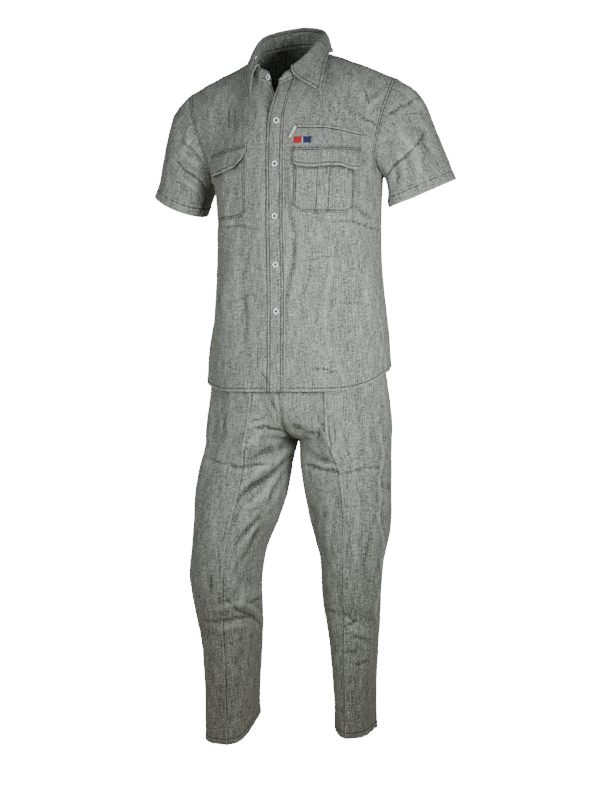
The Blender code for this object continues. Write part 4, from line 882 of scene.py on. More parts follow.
def dressed(name, points, outward, **fades):
    """A panel's points with folds, creases and crumples; also how high each point then stands.
    Fades give the distance over which the listed creases die out at each edge."""
    directions = normals(points, outward)
    away = edges(points)
    hold = np.ones(points.shape[:2])
    for edge, width in fades.items():
        hold *= ease(away[edge] / width)
    placed = by_hand(points, directions, name) * hold
    crumples = crumple(points) * (0.35 + 0.65 * hold)
    return points + directions * (placed + crumples)[..., None], placed + 0.4 * crumples


def seam_map(points, lines):
    """For the sewn lines of a panel: how far along the line and how far from it each point lies."""
    away = edges(points)
    rows, columns = points.shape[:2]
    distance, along = np.full((rows, columns), 0.05), np.zeros((rows, columns))
    for edge, offset, *stretch in lines:
        if isinstance(edge, float):
            continue
        start, end = stretch or (0.0, 1.0)
        upright = edge in ("left", "right")
        place = np.linspace(0, 1, rows)[:, None] if upright else np.linspace(0, 1, columns)[None, :]
        off = np.abs(away[edge] - offset) + 0.05 * ((place < start) | (place > end))
        along = np.where(off < distance, away["bottom"] if upright else away["left"], along)
        distance = np.minimum(distance, off)
    return along, distance


def line_on(points, directions, edge, offset, start=0.0, end=1.0):
    """The places and outward directions along a sewn line: at one distance from an edge of a grid, or for a
    number as the edge, from that height up with a slope, between two distances from the left edge."""
    both = np.concatenate([points, directions], axis=-1)
    if isinstance(edge, float):
        across, found = edges(points)["left"], []
        for step in np.arange(start, end, 0.003):
            column = np.array([interpolated(step, *pair) for pair in zip(across, both)])
            found.append([np.interp(edge + offset * step, column[:, 2], column[:, k]) for k in range(6)])
    else:
        away = edges(points)[edge]
        if edge in ("left", "right"):
            both, away = both.swapaxes(0, 1), away.T
        if edge in ("right", "top"):
            both, away = both[::-1], away[::-1]
        last = both.shape[1] - 1
        chosen = range(int(start * last), int(end * last) + 1)
        found = [interpolated(offset, away[:, j], both[:, j]) for j in chosen]
    found = np.array(found)
    return found[:, :3], unit(found[:, 3:])


# Objects

def new_object(name, mesh, mat):
    mesh.materials.append(mat)
    obj = bpy.data.objects.new(name, mesh)
    bpy.context.scene.collection.objects.link(obj)
    return obj


def mesh_object(name, vertices, faces, mat):
    mesh = bpy.data.meshes.new(name)
    mesh.from_pydata(np.asarray(vertices).tolist(), [], faces)
    obj = new_object(name, mesh, mat)
    mesh.shade_smooth()
    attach(obj, "suit")
    return obj


def four_corners(index):
    """The corners of every square of a grid, from the grid of its places' numbers."""
    return np.stack([index[:-1, :-1], index[:-1, 1:], index[1:, 1:], index[1:, :-1]], axis=-1).reshape(-1, 4)


def blurred(field, times=6):
    """A field smoothed over its neighbours."""
    for _ in range(times):
        padded = np.pad(field, 1, mode="edge")
        field = (padded[:-2, 1:-1] + padded[2:, 1:-1] + padded[1:-1, :-2] + padded[1:-1, 2:] + 2 * field) / 6
    return field


def cloth(name, points, mat, node=None, lines=(), closed=False, thickness=CLOTH,
          height=None, bright=(), darker=0.0, tucked=(), directions=None, share=1.0):
    """A thin shell of cloth on a grid of points, with its weave and its seams mapped along the cloth.
    Ridges and the edges named in `bright` are paler, partly as wash wear and partly as painted highlight;
    hollows are darker as painted shade, and `darker` is painted shade.
    At the tucked edges it goes on under the next panel, as a seam allowance does."""
    along, distance = seam_map(points, lines)
    away, half = edges(points), points.shape[1] // 2
    middle = away["left"] - away["left"][:, half:half + 1]
    # Paler on ridges and darker in the hollows of creases: partly wash wear, partly painted highlight and
    # painted shade
    paler = np.zeros(points.shape[:2]) if height is None else (height - blurred(height)) / 0.0009
    # Named edges are paler: partly wash wear, partly a painted highlight along the edge
    for edge in bright:
        paler = paler + 0.9 * bell(away[edge] / 0.0016)
    fields = [middle, away["bottom"], along, distance, paler - 1.6 * darker]
    panel = points
    for edge in tucked:
        outer, inner = (0, 1) if edge == "left" else (-1, -2)
        onward = unit(panel[:, outer] - panel[:, inner]) * ALLOWANCE - directions[:, outer] * ALLOWANCE_DEPTH
        extra = (panel[:, outer] + onward * np.broadcast_to(share, len(panel))[:, None])[:, None]
        points = np.concatenate([extra, points] if edge == "left" else [points, extra], axis=1)
        sides = ((0, 0), (1, 0) if edge == "left" else (0, 1))
        fields = [np.pad(field, sides, mode="edge") for field in fields]
    rows, columns = points.shape[:2]
    used = columns - 1 if closed else columns
    index = np.arange(rows * used).reshape(rows, used)
    if closed:
        index = np.concatenate([index, index[:, :1]], axis=1)
    corners = four_corners(np.arange(rows * columns).reshape(rows, columns)).ravel()
    obj = mesh_object(name, points[:, :used].reshape(-1, 3), four_corners(index).tolist(), mat)
    for layer, a, b in (("weave", *fields[:2]), ("seam", *fields[2:4])):
        uv = obj.data.uv_layers.new(name=layer)
        pairs = np.stack([a.ravel()[corners], b.ravel()[corners]], axis=-1)
        uv.data.foreach_set("uv", pairs.ravel().astype(np.float32))
    # Per point: wash wear together with painted highlight and painted shade, which the cloth's colour follows
    wear_and_painted_light = obj.data.attributes.new("wear_and_painted_light", "FLOAT", "POINT")
    wear_and_painted_light.data.foreach_set("value", np.clip(fields[4][:, :used], -1.6, 1.2).ravel().astype(np.float32))
    shell = obj.modifiers.new("wall", "SOLIDIFY")
    shell.thickness = thickness
    shell.offset = 0
    if node:
        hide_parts(node)
    return obj


def stitches(name, paths, mat, pitch=0.0042, radius=0.00040):
    """Sewing thread: a row of short stitches along each path, as one mesh."""
    corners, faces, tops = [], [], CLOTH / 2 + 0.00005
    for points, aims in paths:
        run = length_along(points)
        middles = np.arange(pitch / 2, run[-1], pitch)
        if not len(middles):
            continue
        aim = unit(interpolated(middles, run, aims))
        start, middle, end = (interpolated(middles + shift, run, points) + aim * tops
                              for shift in (-0.34 * pitch, 0, 0.34 * pitch))
        middle = middle + aim * 0.6 * radius
        side = unit(np.cross(end - start, aim)) * radius
        ring = [start, middle + side, middle + aim * radius, middle - side, middle - aim * radius, end]
        for base in range(6 * len(corners), 6 * (len(corners) + len(middles)), 6):
            for a, b in ((1, 2), (2, 3), (3, 4), (4, 1)):
                faces += [(base, base + b, base + a), (base + 5, base + a, base + b)]
        corners += list(np.stack(ring, axis=1))
    return mesh_object(name, np.array(corners).reshape(-1, 3), faces, mat)


# Materials

def add(tree, kind, inputs=None, **settings):
    """A shader node with its settings; an input is a value, a Field or another node's socket."""
    new = tree.nodes.new(kind)
    for key, value in settings.items():
        setattr(new, key, value)
    for key, value in (inputs or {}).items():
        value = getattr(value, "socket", value)
        if isinstance(value, bpy.types.NodeSocket):
            tree.links.new(value, new.inputs[key])
        else:
            new.inputs[key].default_value = value
    return new


class Field:
    """A number in a shader that is worked out from other numbers."""
    def __init__(self, tree, socket):
        self.tree, self.socket = tree, socket

    def maths(self, operation, *values):
        node = add(self.tree, "ShaderNodeMath", dict(enumerate((self, *values))), operation=operation)
        return Field(self.tree, node.outputs[0])

    def __add__(self, other):
        return self.maths("ADD", other)

    def __sub__(self, other):
        return self.maths("SUBTRACT", other)

    def __mul__(self, other):
        return self.maths("MULTIPLY", other)

    def __truediv__(self, other):
        return self.maths("DIVIDE", other)


def surface(name, colour=(0.5, 0.5, 0.5), roughness=0.9, metallic=0.0):
    mat = bpy.data.materials.new(name)
    mat.use_nodes = True
    shader = mat.node_tree.nodes["Principled BSDF"]
    for key, value in (("Base Color", (*colour, 1)), ("Roughness", roughness), ("Metallic", metallic)):
        shader.inputs[key].default_value = value
    return mat, mat.node_tree, shader


def uv_map(tree, layer):
    """The places on the cloth in one of its maps, and their two numbers."""
    xy = add(tree, "ShaderNodeUVMap", uv_map=layer).outputs[0]
    return (xy, *(Field(tree, out) for out in add(tree, "ShaderNodeSeparateXYZ", {0: xy}).outputs[:2]))


def streaks(tree, cloth_xy, across, up, detail=2.0):
    """Noise drawn out along the threads: the number of changes per metre across and up."""
    scaled = add(tree, "ShaderNodeMapping", {"Vector": cloth_xy, "Scale": (across, up, 1.0)})
    settings = {"Vector": scaled.outputs[0], "Scale": 1.0, "Detail": detail, "Roughness": 0.6}
    return Field(tree, add(tree, "ShaderNodeTexNoise", settings, noise_dimensions="2D").outputs[0])


def colour_mix(tree, share, first, second):
    """The first colour, or the second by its share."""
    colours = {place: colour if isinstance(colour, bpy.types.NodeSocket) else (*colour, 1)
               for place, colour in ((6, first), (7, second))}
    return add(tree, "ShaderNodeMix", {0: share, **colours}, data_type="RGBA").outputs[2]


def coat(tree, shader, colour, height=None, strength=0.5, distance=0.0002):
    """Gives a surface its colour, and a relief when it has one."""
    tree.links.new(colour, shader.inputs["Base Color"])
    if height is not None:
        bump = add(tree, "ShaderNodeBump", {"Strength": strength, "Distance": distance, "Height": height})
        tree.links.new(bump.outputs[0], shader.inputs["Normal"])


def cotton():
    """Dark and pale threads in both directions, uneven as in washed chambray; paler on ridges and on the
    puckers beside seams, partly as wash wear and partly as painted highlight, and darker in hollows and along
    each sewn line as painted shade.
    """
    mat, tree, shader = surface("washed_chambray", roughness=0.92)
    xy = uv_map(tree, "weave")[0]
    warp, weft, slub_up, slub_across, speck, washed, uneven = (streaks(tree, xy, *size) for size in THREADS)
    both = warp + weft
    grain = both * 0.5 + (slub_up * 0.80 + slub_across * 0.50) + speck * 0.95
    low, high = GRAIN
    ranged = add(tree, "ShaderNodeMapRange", {"Value": grain, "From Min": low, "From Max": high})
    # Wash wear with painted highlight and painted shade, carried by the cloth's points
    wear_and_painted_light = Field(tree, add(tree, "ShaderNodeAttribute", attribute_name="wear_and_painted_light").outputs["Fac"])
    share = Field(tree, ranged.outputs[0]).maths("POWER", 1.6) + wear_and_painted_light * 0.22 + (washed - 0.5) * 0.16
    _, along, away = uv_map(tree, "seam")
    beat = (along * (2 * math.pi / PUCKER) + uneven * 5.0).maths("SINE")
    flank = (away - 0.0024) / 0.0013
    flank = (flank * flank * -1.0).maths("EXPONENT")
    line = (away / 0.0014 * -1.0).maths("EXPONENT")
    # The pale puckers beside each sewn line are partly wash wear and partly painted highlight; the dark line
    # along it is painted shade in the seam's groove
    share = share + flank * (beat * 0.20 + 0.25) - line * (beat * 0.48 + 0.78)
    height = both * 0.35 + beat * flank * 0.7 - line * 0.8
    share = add(tree, "ShaderNodeClamp", {"Value": share}).outputs[0]
    coat(tree, shader, colour_mix(tree, share, DARK_THREAD, LIGHT_THREAD), height, 0.75, 0.0005)
    for key, value in (("Sheen Weight", 0.12), ("Sheen Roughness", 0.5), ("Specular IOR Level", 0.2)):
        shader.inputs[key].default_value = value
    return mat


def speckled(name, dark, light, scale, roughness, metallic=0.0, bump=0.0):
    """A finish with fine uneven colour and, with a bump, relief."""
    mat, tree, shader = surface(name, dark, roughness, metallic)
    place = add(tree, "ShaderNodeTexCoord").outputs["Object"]
    noise = add(tree, "ShaderNodeTexNoise", {"Vector": place, "Scale": scale, "Detail": 3.0}).outputs[0]
    coat(tree, shader, colour_mix(tree, noise, dark, light), noise if bump else None, distance=bump)
    return mat


def woven_label():
    """Two blocks of colour with a thin pale bar between, and fine ribs; it carries no words."""
    mat, tree, shader = surface("woven_label", roughness=0.75)
    xy, x, _ = uv_map(tree, "weave")
    two = colour_mix(tree, x.maths("GREATER_THAN", 0.0), LABEL_RED, LABEL_NAVY)
    three = colour_mix(tree, x.maths("ABSOLUTE").maths("LESS_THAN", LABEL_BAR), two, LABEL_PALE)
    coat(tree, shader, three, streaks(tree, xy, 2400, 300))
    return mat


# Pieces of the shirt

def hemmed(points, outward, width, height=0.0005):
    """Cloth that is folded double along its lower edge stands a little higher there; and its directions."""
    directions = normals(points, outward)
    rise = height * (1 - ease((edges(points)["bottom"] - width + 0.0006) / 0.0012))
    return points + directions * rise[..., None], directions


class Chest:
    """One front of the shirt as it lies, for placing pieces by distance from centre front and by height."""
    HEIGHTS = np.linspace(-0.40, -0.13, 136)
    ACROSS = np.linspace(0, 0.24, 121)

    def __init__(self, points):
        both = np.concatenate([points, normals(points, (0, -1, 0))], axis=-1).swapaxes(0, 1)
        self.table = np.zeros((len(self.HEIGHTS), len(self.ACROSS), 6))
        for i, z in enumerate(self.HEIGHTS):
            row = np.array([interpolated(z, column[:, 2], column) for column in both])
            self.table[i] = interpolated(self.ACROSS, length_along(row[:, :2]) - PLACKET / 2, row)

    def lay(self, across, z, above):
        """Points at a height above the cloth, and the cloth's outward directions there."""
        a, b = (np.clip((value - steps[0]) / (steps[1] - steps[0]), 0, len(steps) - 1.001)
                for value, steps in ((across, self.ACROSS), (z, self.HEIGHTS)))
        i, j = b.astype(int), a.astype(int)
        s, t = (b - i)[..., None], (a - j)[..., None]
        low, high = ((1 - t) * self.table[k, j] + t * self.table[k, j + 1] for k in (i, i + 1))
        mixed = (1 - s) * low + s * high
        directions = unit(mixed[..., 3:])
        return mixed[..., :3] + directions * np.asarray(above)[..., None], directions


def sewn(points, directions, lines):
    """The thread of a panel's sewn lines."""
    return [line_on(points, directions, *line) for line in lines]


def shirt_grid(where, columns):
    """The places across a shirt panel and up from its hem, by the armpit, to its top."""
    low = places(*GRIDS[f"{where} low"], (True, False))
    high = places(*GRIDS[f"{where} high"], (False, True))
    return np.meshgrid(columns, np.concatenate([low, 1 + high[1:]]))


def make_front(side, mat):
    name = f"front_{side}"
    flat = body(side, "front", *shirt_grid("front", places(*GRIDS["front across"])))
    points, height = dressed(name, flat, flat * LEVEL, left=0.045, right=0.018, top=0.02)
    points = trim(points, right=SEAM / 2, top=SEAM / 2)
    points, directions = hemmed(points, points * LEVEL, HEM_FOLD["shirt"])
    across = edges(points)["left"] - PLACKET / 2
    # Painted shadow under the flap's lower edge, on the front beside the pocket
    darker = painted_flap_shadow(side, across, points[..., 2]) * ease((POCKETS[side][0] - across) / 0.004)
    cloth(f"{name}_cloth", points, mat, name, SEWN[name], height=height, bright=("bottom",), darker=darker)
    return points, directions


def make_back(mat):
    u, v = shirt_grid("back", places(*GRIDS["back half"], (False, True)))
    right, left = (body(side, "back", u, v) for side in ("right", "left"))
    flat = np.concatenate([right[:, ::-1], left[:, 1:]], axis=1)
    points, height = dressed("back", flat, flat * LEVEL, left=0.018, right=0.018, top=0.02)
    points = trim(points, left=SEAM / 2, right=SEAM / 2, top=SEAM / 2)
    points, directions = hemmed(points, points * LEVEL, HEM_FOLD["shirt"])
    cloth("back_cloth", points, mat, "back", SEWN["back"], height=height, bright=("bottom",),
          tucked=("left", "right"), directions=directions, share=np.where(v[:, 0] <= 1, 1.0, 0.02))
    return points, directions


def make_sleeve(side, mat):
    name = f"sleeve_{side}"
    around, down = 0.5 + places(*GRIDS["sleeve around"]), 1 - places(*GRIDS["sleeve down"])
    flat = sleeve(side, *np.meshgrid(around, down))
    middle = flat.mean(axis=1, keepdims=True)
    points, height = dressed(name, flat, flat - middle, top=0.02)
    points[:, -1] = points[:, 0]
    tuck = 0.0015 * (1 - ease(edges(points)["top"] / 0.007))
    points = points - normals(points, points - middle) * tuck[..., None]
    points, directions = hemmed(points, points - middle, HEM_FOLD["sleeve"], 0.0006)
    cloth(f"{name}_cloth", points, mat, name, SEWN["sleeve"], closed=True, height=height, bright=("bottom",))
    return points, directions


def make_placket(front_points, front_directions, mat):
    """The front band, over the left front's own points."""
    across = arc(front_points[..., :2], 1)
    wide, step = np.linspace(0, PLACKET, 29), 0.0017
    rows = np.arange(front_points.shape[0])
    up = arc(front_points, 0)[:, 0]
    fine = np.interp(np.arange(0, up[-1], step), up, rows)

    def follow(field):
        band = np.stack([interpolated(wide, *pair) for pair in zip(across, field)])
        return np.stack([interpolated(fine, rows, band[:, j]) for j in range(len(wide))], axis=1)

    points, directions = follow(front_points), unit(follow(front_directions))
    ends = np.minimum(wide, PLACKET - wide)[None, :]
    ripple = puckers(points, np.arange(len(fine))[:, None] * step, ends, 0.005, 0.004, 7, 2.2)
    points = trim(points + directions * (LAYER + 0.00035 * ripple)[..., None], top=SEAM / 2 + 0.0004)
    cloth("placket_cloth", points, mat, "placket", SEWN["placket"], height=0.0004 * ripple,
          bright=("left", "right"))
    return points, directions


def make_stand(mat):
    """The collar's stand; it reaches a little below the neckline, inside the shirt."""
    front_places = 3 * np.linspace(0, 1, 40) ** 1.15
    spots = np.concatenate([front_places, np.linspace(3, 7, 82)[1:-1], 10 - front_places[::-1]])
    flat = stand(*np.meshgrid(spots, np.concatenate([[-0.20, -0.10], np.linspace(0, 1, 14)])))
    outward = flat * LEVEL - NECK_MIDDLE
    points = flat + normals(flat, outward) * (0.0003 * waves(flat, 0.03, 41))[..., None]
    cloth("collar_stand_cloth", points, mat, "collar_stand", SEWN["stand"], bright=("top",))
    return points, normals(points, outward)


def make_fall(mat):
    spots = FALL_FROM + (FALL_TO - FALL_FROM) * places(*GRIDS["fall around"])
    flat_part = FALL_ROLL + (1 - FALL_ROLL) * places(*GRIDS["fall out"], (False, True))[1:]
    place, out = np.meshgrid(spots, np.concatenate([np.linspace(0, FALL_ROLL, 9), flat_part]))
    flat = fall(place, out)
    directions = normals(flat, (flat - NECK_MIDDLE) * LEVEL + np.array([0, 0, 0.02]))
    inward, along = rim(edges(flat))
    ripple = puckers(flat, along, inward, 0.0055, 0.004, 9) * ease((out - 0.2) / 0.2)
    soft = 0.0005 * waves(flat, 0.05, 43) * ease(out / 0.4)
    double = 0.0008 * (1 - ease((inward - 0.004) / 0.004)) * (out > 0.3)
    points = flat + directions * (0.0003 * ripple + soft + double)[..., None]
    cloth("collar_fall_cloth", points, mat, "collar_fall", SEWN["fall"], height=0.0004 * ripple,
          thickness=0.0016, bright=("left", "right", "top"))
    return points, directions


def flap_place(side, across):
    """How far out on a flap a place lies, the height of the flap's top edge there, and its drop."""
    inner, outer, inner_top, outer_top = FLAPS[side]
    u = (across - inner) / (outer - inner)
    return u, inner_top + (outer_top - inner_top) * u, smooth(FLAP_DROPS[side], np.clip(u, 0, 1))[..., 0]


def painted_flap_shadow(side, across, z):
    """How much painted shadow darkens the cloth close under a flap's lower edge, from 0 to 1."""
    u, top, drop = flap_place(side, across)
    edge = top - drop
    return bell(np.maximum(edge - z, 0) / 0.0045) * (edge - z > -0.006) * (u > 0) * (u < 1)


def patch(name, points, directions, ripple, mat, lines, darker=0.0):
    """A pocket or a flap, sewn on; its rows run down from the top. The thread of its lines comes back."""
    points, directions, ripple = points[::-1], directions[::-1], ripple[::-1]
    # Its edges are paler, partly as wash wear and partly as painted highlight
    cloth(f"{name}_cloth", points, mat, name, lines, height=0.0004 * ripple,
          bright=("left", "right", "bottom"), darker=darker)
    return sewn(points, directions, lines)


def make_pocket(side, chest, mat):
    inner, outer, top, bottom, corner, pleat = POCKETS[side]
    u, v = grid(76, 72)
    across, middle = inner + (outer - inner) * u, np.abs(2 * u - 1)
    edge = np.minimum(u, 1 - u) * (outer - inner)
    low = bottom + 0.6 * corner * (np.clip(1 - edge / corner, 0, 1) ** 1.6)
    fold = pleat * 0.55 * (1 - ease((middle - 0.205) / 0.03))
    flat, directions = chest.lay(across, top + (low - top) * v, LAYER + fold)
    away = edges(flat)
    inward, along = rim(away)
    ripple = puckers(flat, along, inward, 0.005, 0.004, 13)
    if pleat:
        ripple = ripple + 0.9 * puckers(flat, away["bottom"], middle, 0.22, 0.05, 19, 2.5)
    sag = 0.0012 * np.sin(np.pi * u) * np.sin(np.pi * v) * (1 + 0.7 * waves(flat, 0.05, 47))
    points = flat + directions * (0.0004 * ripple + np.maximum(sag, 0))[..., None]
    lines = SEWN["pocket"] + (SEWN["pleat"] if pleat else ())
    # Painted shadow under the flap's lower edge, on the pocket
    darker = painted_flap_shadow(side, across, flat[..., 2])[::-1]
    return patch(f"pocket_{side}", points, directions, ripple, mat, lines, darker)


def make_flap(side, chest, mat):
    u, v = grid(96, 34)
    inner, outer = FLAPS[side][:2]
    across = inner + (outer - inner) * u
    _, top, drop = flap_place(side, across)
    ends = np.minimum(u, 1 - u)
    over = LAYER + (LAYER + 0.0008 + POCKETS[side][5] * 0.45) * ease(v / 0.35) * ease(ends / 0.05)
    curl = 0.0042 * ease((v - 0.45) / 0.55) * (0.65 + 0.35 * np.sin(9 * u + 1.0)) * ease(ends / 0.10)
    points, directions = chest.lay(across, top - drop * v, over + curl)
    away = edges(points)
    inward, along = rim(away)
    ripple = puckers(points, along, inward, 0.005, 0.004, 53)
    ripple = ripple + puckers(points, away["left"], away["bottom"], 0.005, 0.005, 59) * ease(v / 0.02)
    return patch(f"flap_{side}", points + directions * (0.00035 * ripple)[..., None], directions, ripple, mat,
                 SEWN["flap"])


# Pieces of the trousers

def merged(grids):
    """The points and faces of several grids of cloth, as one mesh."""
    points, faces = [], []
    for rows in grids:
        index = len(points) + np.arange(rows.shape[0] * rows.shape[1]).reshape(rows.shape[:2])
        points += rows.reshape(-1, 3).tolist()
        faces += four_corners(index).tolist()
    return points, faces


def seen_on(tree, path):
    """A path drawn in the photograph's pixels, laid on the cloth behind it."""
    a = math.radians(VIEW_DEG)
    right, ahead = Vector((math.cos(a), math.sin(a), 0)), Vector((-math.sin(a), math.cos(a), 0))
    eye = Vector((0, 0, EYE_Z)) - CAMERA_DISTANCE * ahead
    focal = LENS / SENSOR_WIDTH * PHOTO_HEIGHT
    spots, aims = [], []
    for x, y in curve(path, np.linspace(0, len(path) - 1, 12 * (len(path) - 1) + 1)):
        ray = ahead + right * ((x - PHOTO_MIDDLE) / focal) - Vector((0, 0, (y - PHOTO_HORIZON) / focal))
        spot, normal = tree.ray_cast(eye, ray.normalized())[:2]
        if spot is not None:
            spots.append(spot[:])
            aims.append((normal if normal.dot(ray) < 0 else -normal)[:])
    return np.array(spots), np.array(aims)


def make_leg(side, where, mat):
    hem, crotch, waist_z = LEGS[side][0][0], SEAT[0][0], SEAT[-1][0]
    step = 0.0042 if where == "front" else 0.0052
    half = places(0.12, step, 0.0016, 0.004)
    lower = hem + (crotch - hem) * places(crotch - hem, step, 0.0018, 0.016, (True, False))
    upper = crotch + (waist_z - crotch) * places(waist_z - crotch, step, step, 0.0)[1:]
    columns = np.concatenate([half / 2, 0.5 + half[1:] / 2])
    flat = leg(side, where, *np.meshgrid(columns, np.concatenate([lower, upper])))
    name = f"leg_{where}_{side}"
    middle = on_side(LEG_MIDDLE, side)
    points, height = dressed(name, flat, (flat - middle) * LEVEL, left=0.012, right=0.016)
    from_crease = edges(flat)["left"]
    from_crease = from_crease - from_crease[:, len(half) - 1:len(half)]
    pressed = 0.0014 * np.exp(-np.abs(from_crease) / 0.0026)
    shaded = (0.6 + 0.25 * waves(flat, 0.12, 37)) * bell((from_crease + 0.0022) / 0.0016)
    points = points + normals(points, (flat - middle) * LEVEL) * pressed[..., None]
    points = trim(points, left=SEAM / 2, right=SEAM / 2)
    points, directions = hemmed(points, (points - middle) * LEVEL, HEM_FOLD["leg"], 0.0006)
    # The pressed crease and the side seam's edge are paler, partly as wash wear and partly as painted
    # highlight
    cloth(f"{name}_cloth", points, mat, name, SEWN["leg"], height=height + pressed,
          bright=("bottom", "right"), darker=shaded, tucked=LEG_TUCKS[name], directions=directions)
    return points, directions


# Fittings

def frame_of(node):
    """A CAD node's middle and the direction in which it is thinnest, pointing forward."""
    corners = np.array([v.co[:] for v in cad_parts[node].data.vertices])
    middle = (corners.max(axis=0) + corners.min(axis=0)) / 2
    axis = np.linalg.svd(corners - corners.mean(axis=0))[2][2]
    return middle, axis * (-1 if axis[1] > 0 else 1)


def circle(radius, count, x=0.0, y=0.0):
    turns = (2 * math.pi * i / count for i in range(count))
    return [(x + radius * math.cos(a), y + radius * math.sin(a)) for a in turns]


def turned_ring(name, rings, mat):
    """A turned shape through rings of radius and height."""
    bm = bmesh.new()
    loops = [[bm.verts.new((*place, height)) for place in circle(radius, RIM_SEGMENTS)]
             for radius, height in rings]
    for first, second in zip(loops, loops[1:]):
        for i in range(RIM_SEGMENTS):
            after = (i + 1) % RIM_SEGMENTS
            bm.faces.new((first[i], first[after], second[after], second[i]))
    mesh = bpy.data.meshes.new(name)
    bm.to_mesh(mesh)
    bm.free()
    return new_object(name, mesh, mat)


def pierced_plate(name, radius, mat):
    """A round plate with four sewing holes, as a flat outline with holes."""
    outline = bpy.data.curves.new(name, "CURVE")
    outline.dimensions = "2D"
    outline.fill_mode = "BOTH"
    outline.extrude = BUTTON_PLATE / 2
    apart = (-HOLE_PLACE, HOLE_PLACE)
    holes = [circle(HOLE_RADIUS, 12, x, y) for x in apart for y in apart]
    for loop in [circle(radius, 32), *holes]:
        spline = outline.splines.new("POLY")
        spline.points.add(len(loop) - 1)
        for point, (x, y) in zip(spline.points, loop):
            point.co = (x, y, 0, 1)
        spline.use_cyclic_u = True
    outlined = bpy.data.objects.new(name, outline)
    bpy.context.scene.collection.objects.link(outlined)
    bpy.context.view_layer.update()
    mesh = bpy.data.meshes.new_from_object(outlined.evaluated_get(bpy.context.evaluated_depsgraph_get()))
    bpy.data.objects.remove(outlined)
    mesh.materials.clear()
    return new_object(name, mesh, mat)


def make_button(node, resin, shade, thread):
    middle, axis = frame_of(node)
    rings = [(share * BUTTON_RADIUS, height * BUTTON_THICK) for share, height in BUTTON_PROFILE]
    rim_object = turned_ring(f"{node}_rim", rings, resin)
    rim_object.data.shade_smooth()
    plate = pierced_plate(f"{node}_plate", 0.50 * BUTTON_RADIUS, shade)
    turn = Vector(axis).to_track_quat("Z", "Y").to_matrix().to_4x4() @ Matrix.Rotation(0.4, 4, "Z")
    for obj in (rim_object, plate):
        obj.data.transform(Matrix.Translation(middle) @ turn)
        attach(obj, "suit")
    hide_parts(node)
    side = unit(np.cross(axis, [0, 0, 1.0]))
    up = np.cross(side, axis)
    paths = []
    for a, b in ((-1, 1), (1, -1)):
        across = (side * a + up * b) * HOLE_PLACE
        for nudge in (-0.00022, 0.00022):
            start = middle + side * nudge + axis * 0.0002
            paths.append((np.array([start - across, start + across]), np.array([axis, axis])))
    stitches(f"{node}_thread", paths, thread, pitch=2 * HOLE_PLACE * 1.414, radius=0.0003)


def zip_strip(chest, low, high, above, rows=4, roll=0.0):
    """A strip of cloth along the zip, between two heights from the zip's middle line."""
    u, v = grid(80, rows)
    middle = ZIP["z"] - ZIP["drop"] * ease(u * 1.6 - 0.6)
    uneven = 0.0003 * waves(np.stack([u, v, 0 * u], -1), 0.12, 61)
    return chest.lay(ZIP["from"] + (ZIP["to"] - ZIP["from"]) * u, middle + low + (high - low) * v,
                     above + roll * np.sin(np.pi * v) + uneven)


def make_zip(chest, cotton_mat, tape_mat, metal_mat):
    """The chest zip: tape, two cloth lips that almost meet over it, and the teeth between them."""
    tape, _ = zip_strip(chest, -0.0045, 0.0045, LAYER - 0.0004)
    cloth("zip_tape_weave", tape, tape_mat, "zip_tape", thickness=0.0008)
    for name, low, high, bright in ZIP_LIPS:
        lip, _ = zip_strip(chest, low, high, LAYER + 0.0005, roll=0.0010)
        cloth(name, lip, cotton_mat, bright=bright)
    middle, directions = zip_strip(chest, -0.0004, 0.0, LAYER + 0.0003, rows=1)
    line, aim = middle.mean(axis=0), directions.mean(axis=0)
    run = length_along(line)
    corners, faces = [], []
    for k, s in enumerate(np.arange(0.001, run[-1], ZIP_PITCH)):
        centre, out = interpolated(s, run, line), unit(interpolated(s, run, aim))
        ahead = unit(interpolated(s + 0.001, run, line) - centre + 1e-9)
        up = np.cross(out, ahead)
        faces += [tuple(len(corners) + i for i in face) for face in BOX_FACES]
        shift = 0.0004 if k % 2 else -0.0004
        corners += [centre + ahead * a * 0.00045 + up * (b * 0.0007 + shift) + out * c * 0.0005
                    for a in (-1, 1) for b in (-1, 1) for c in (-1, 1)]
    teeth = mesh_object("zip_teeth", corners, faces, metal_mat)
    teeth.data.shade_flat()


# Stage

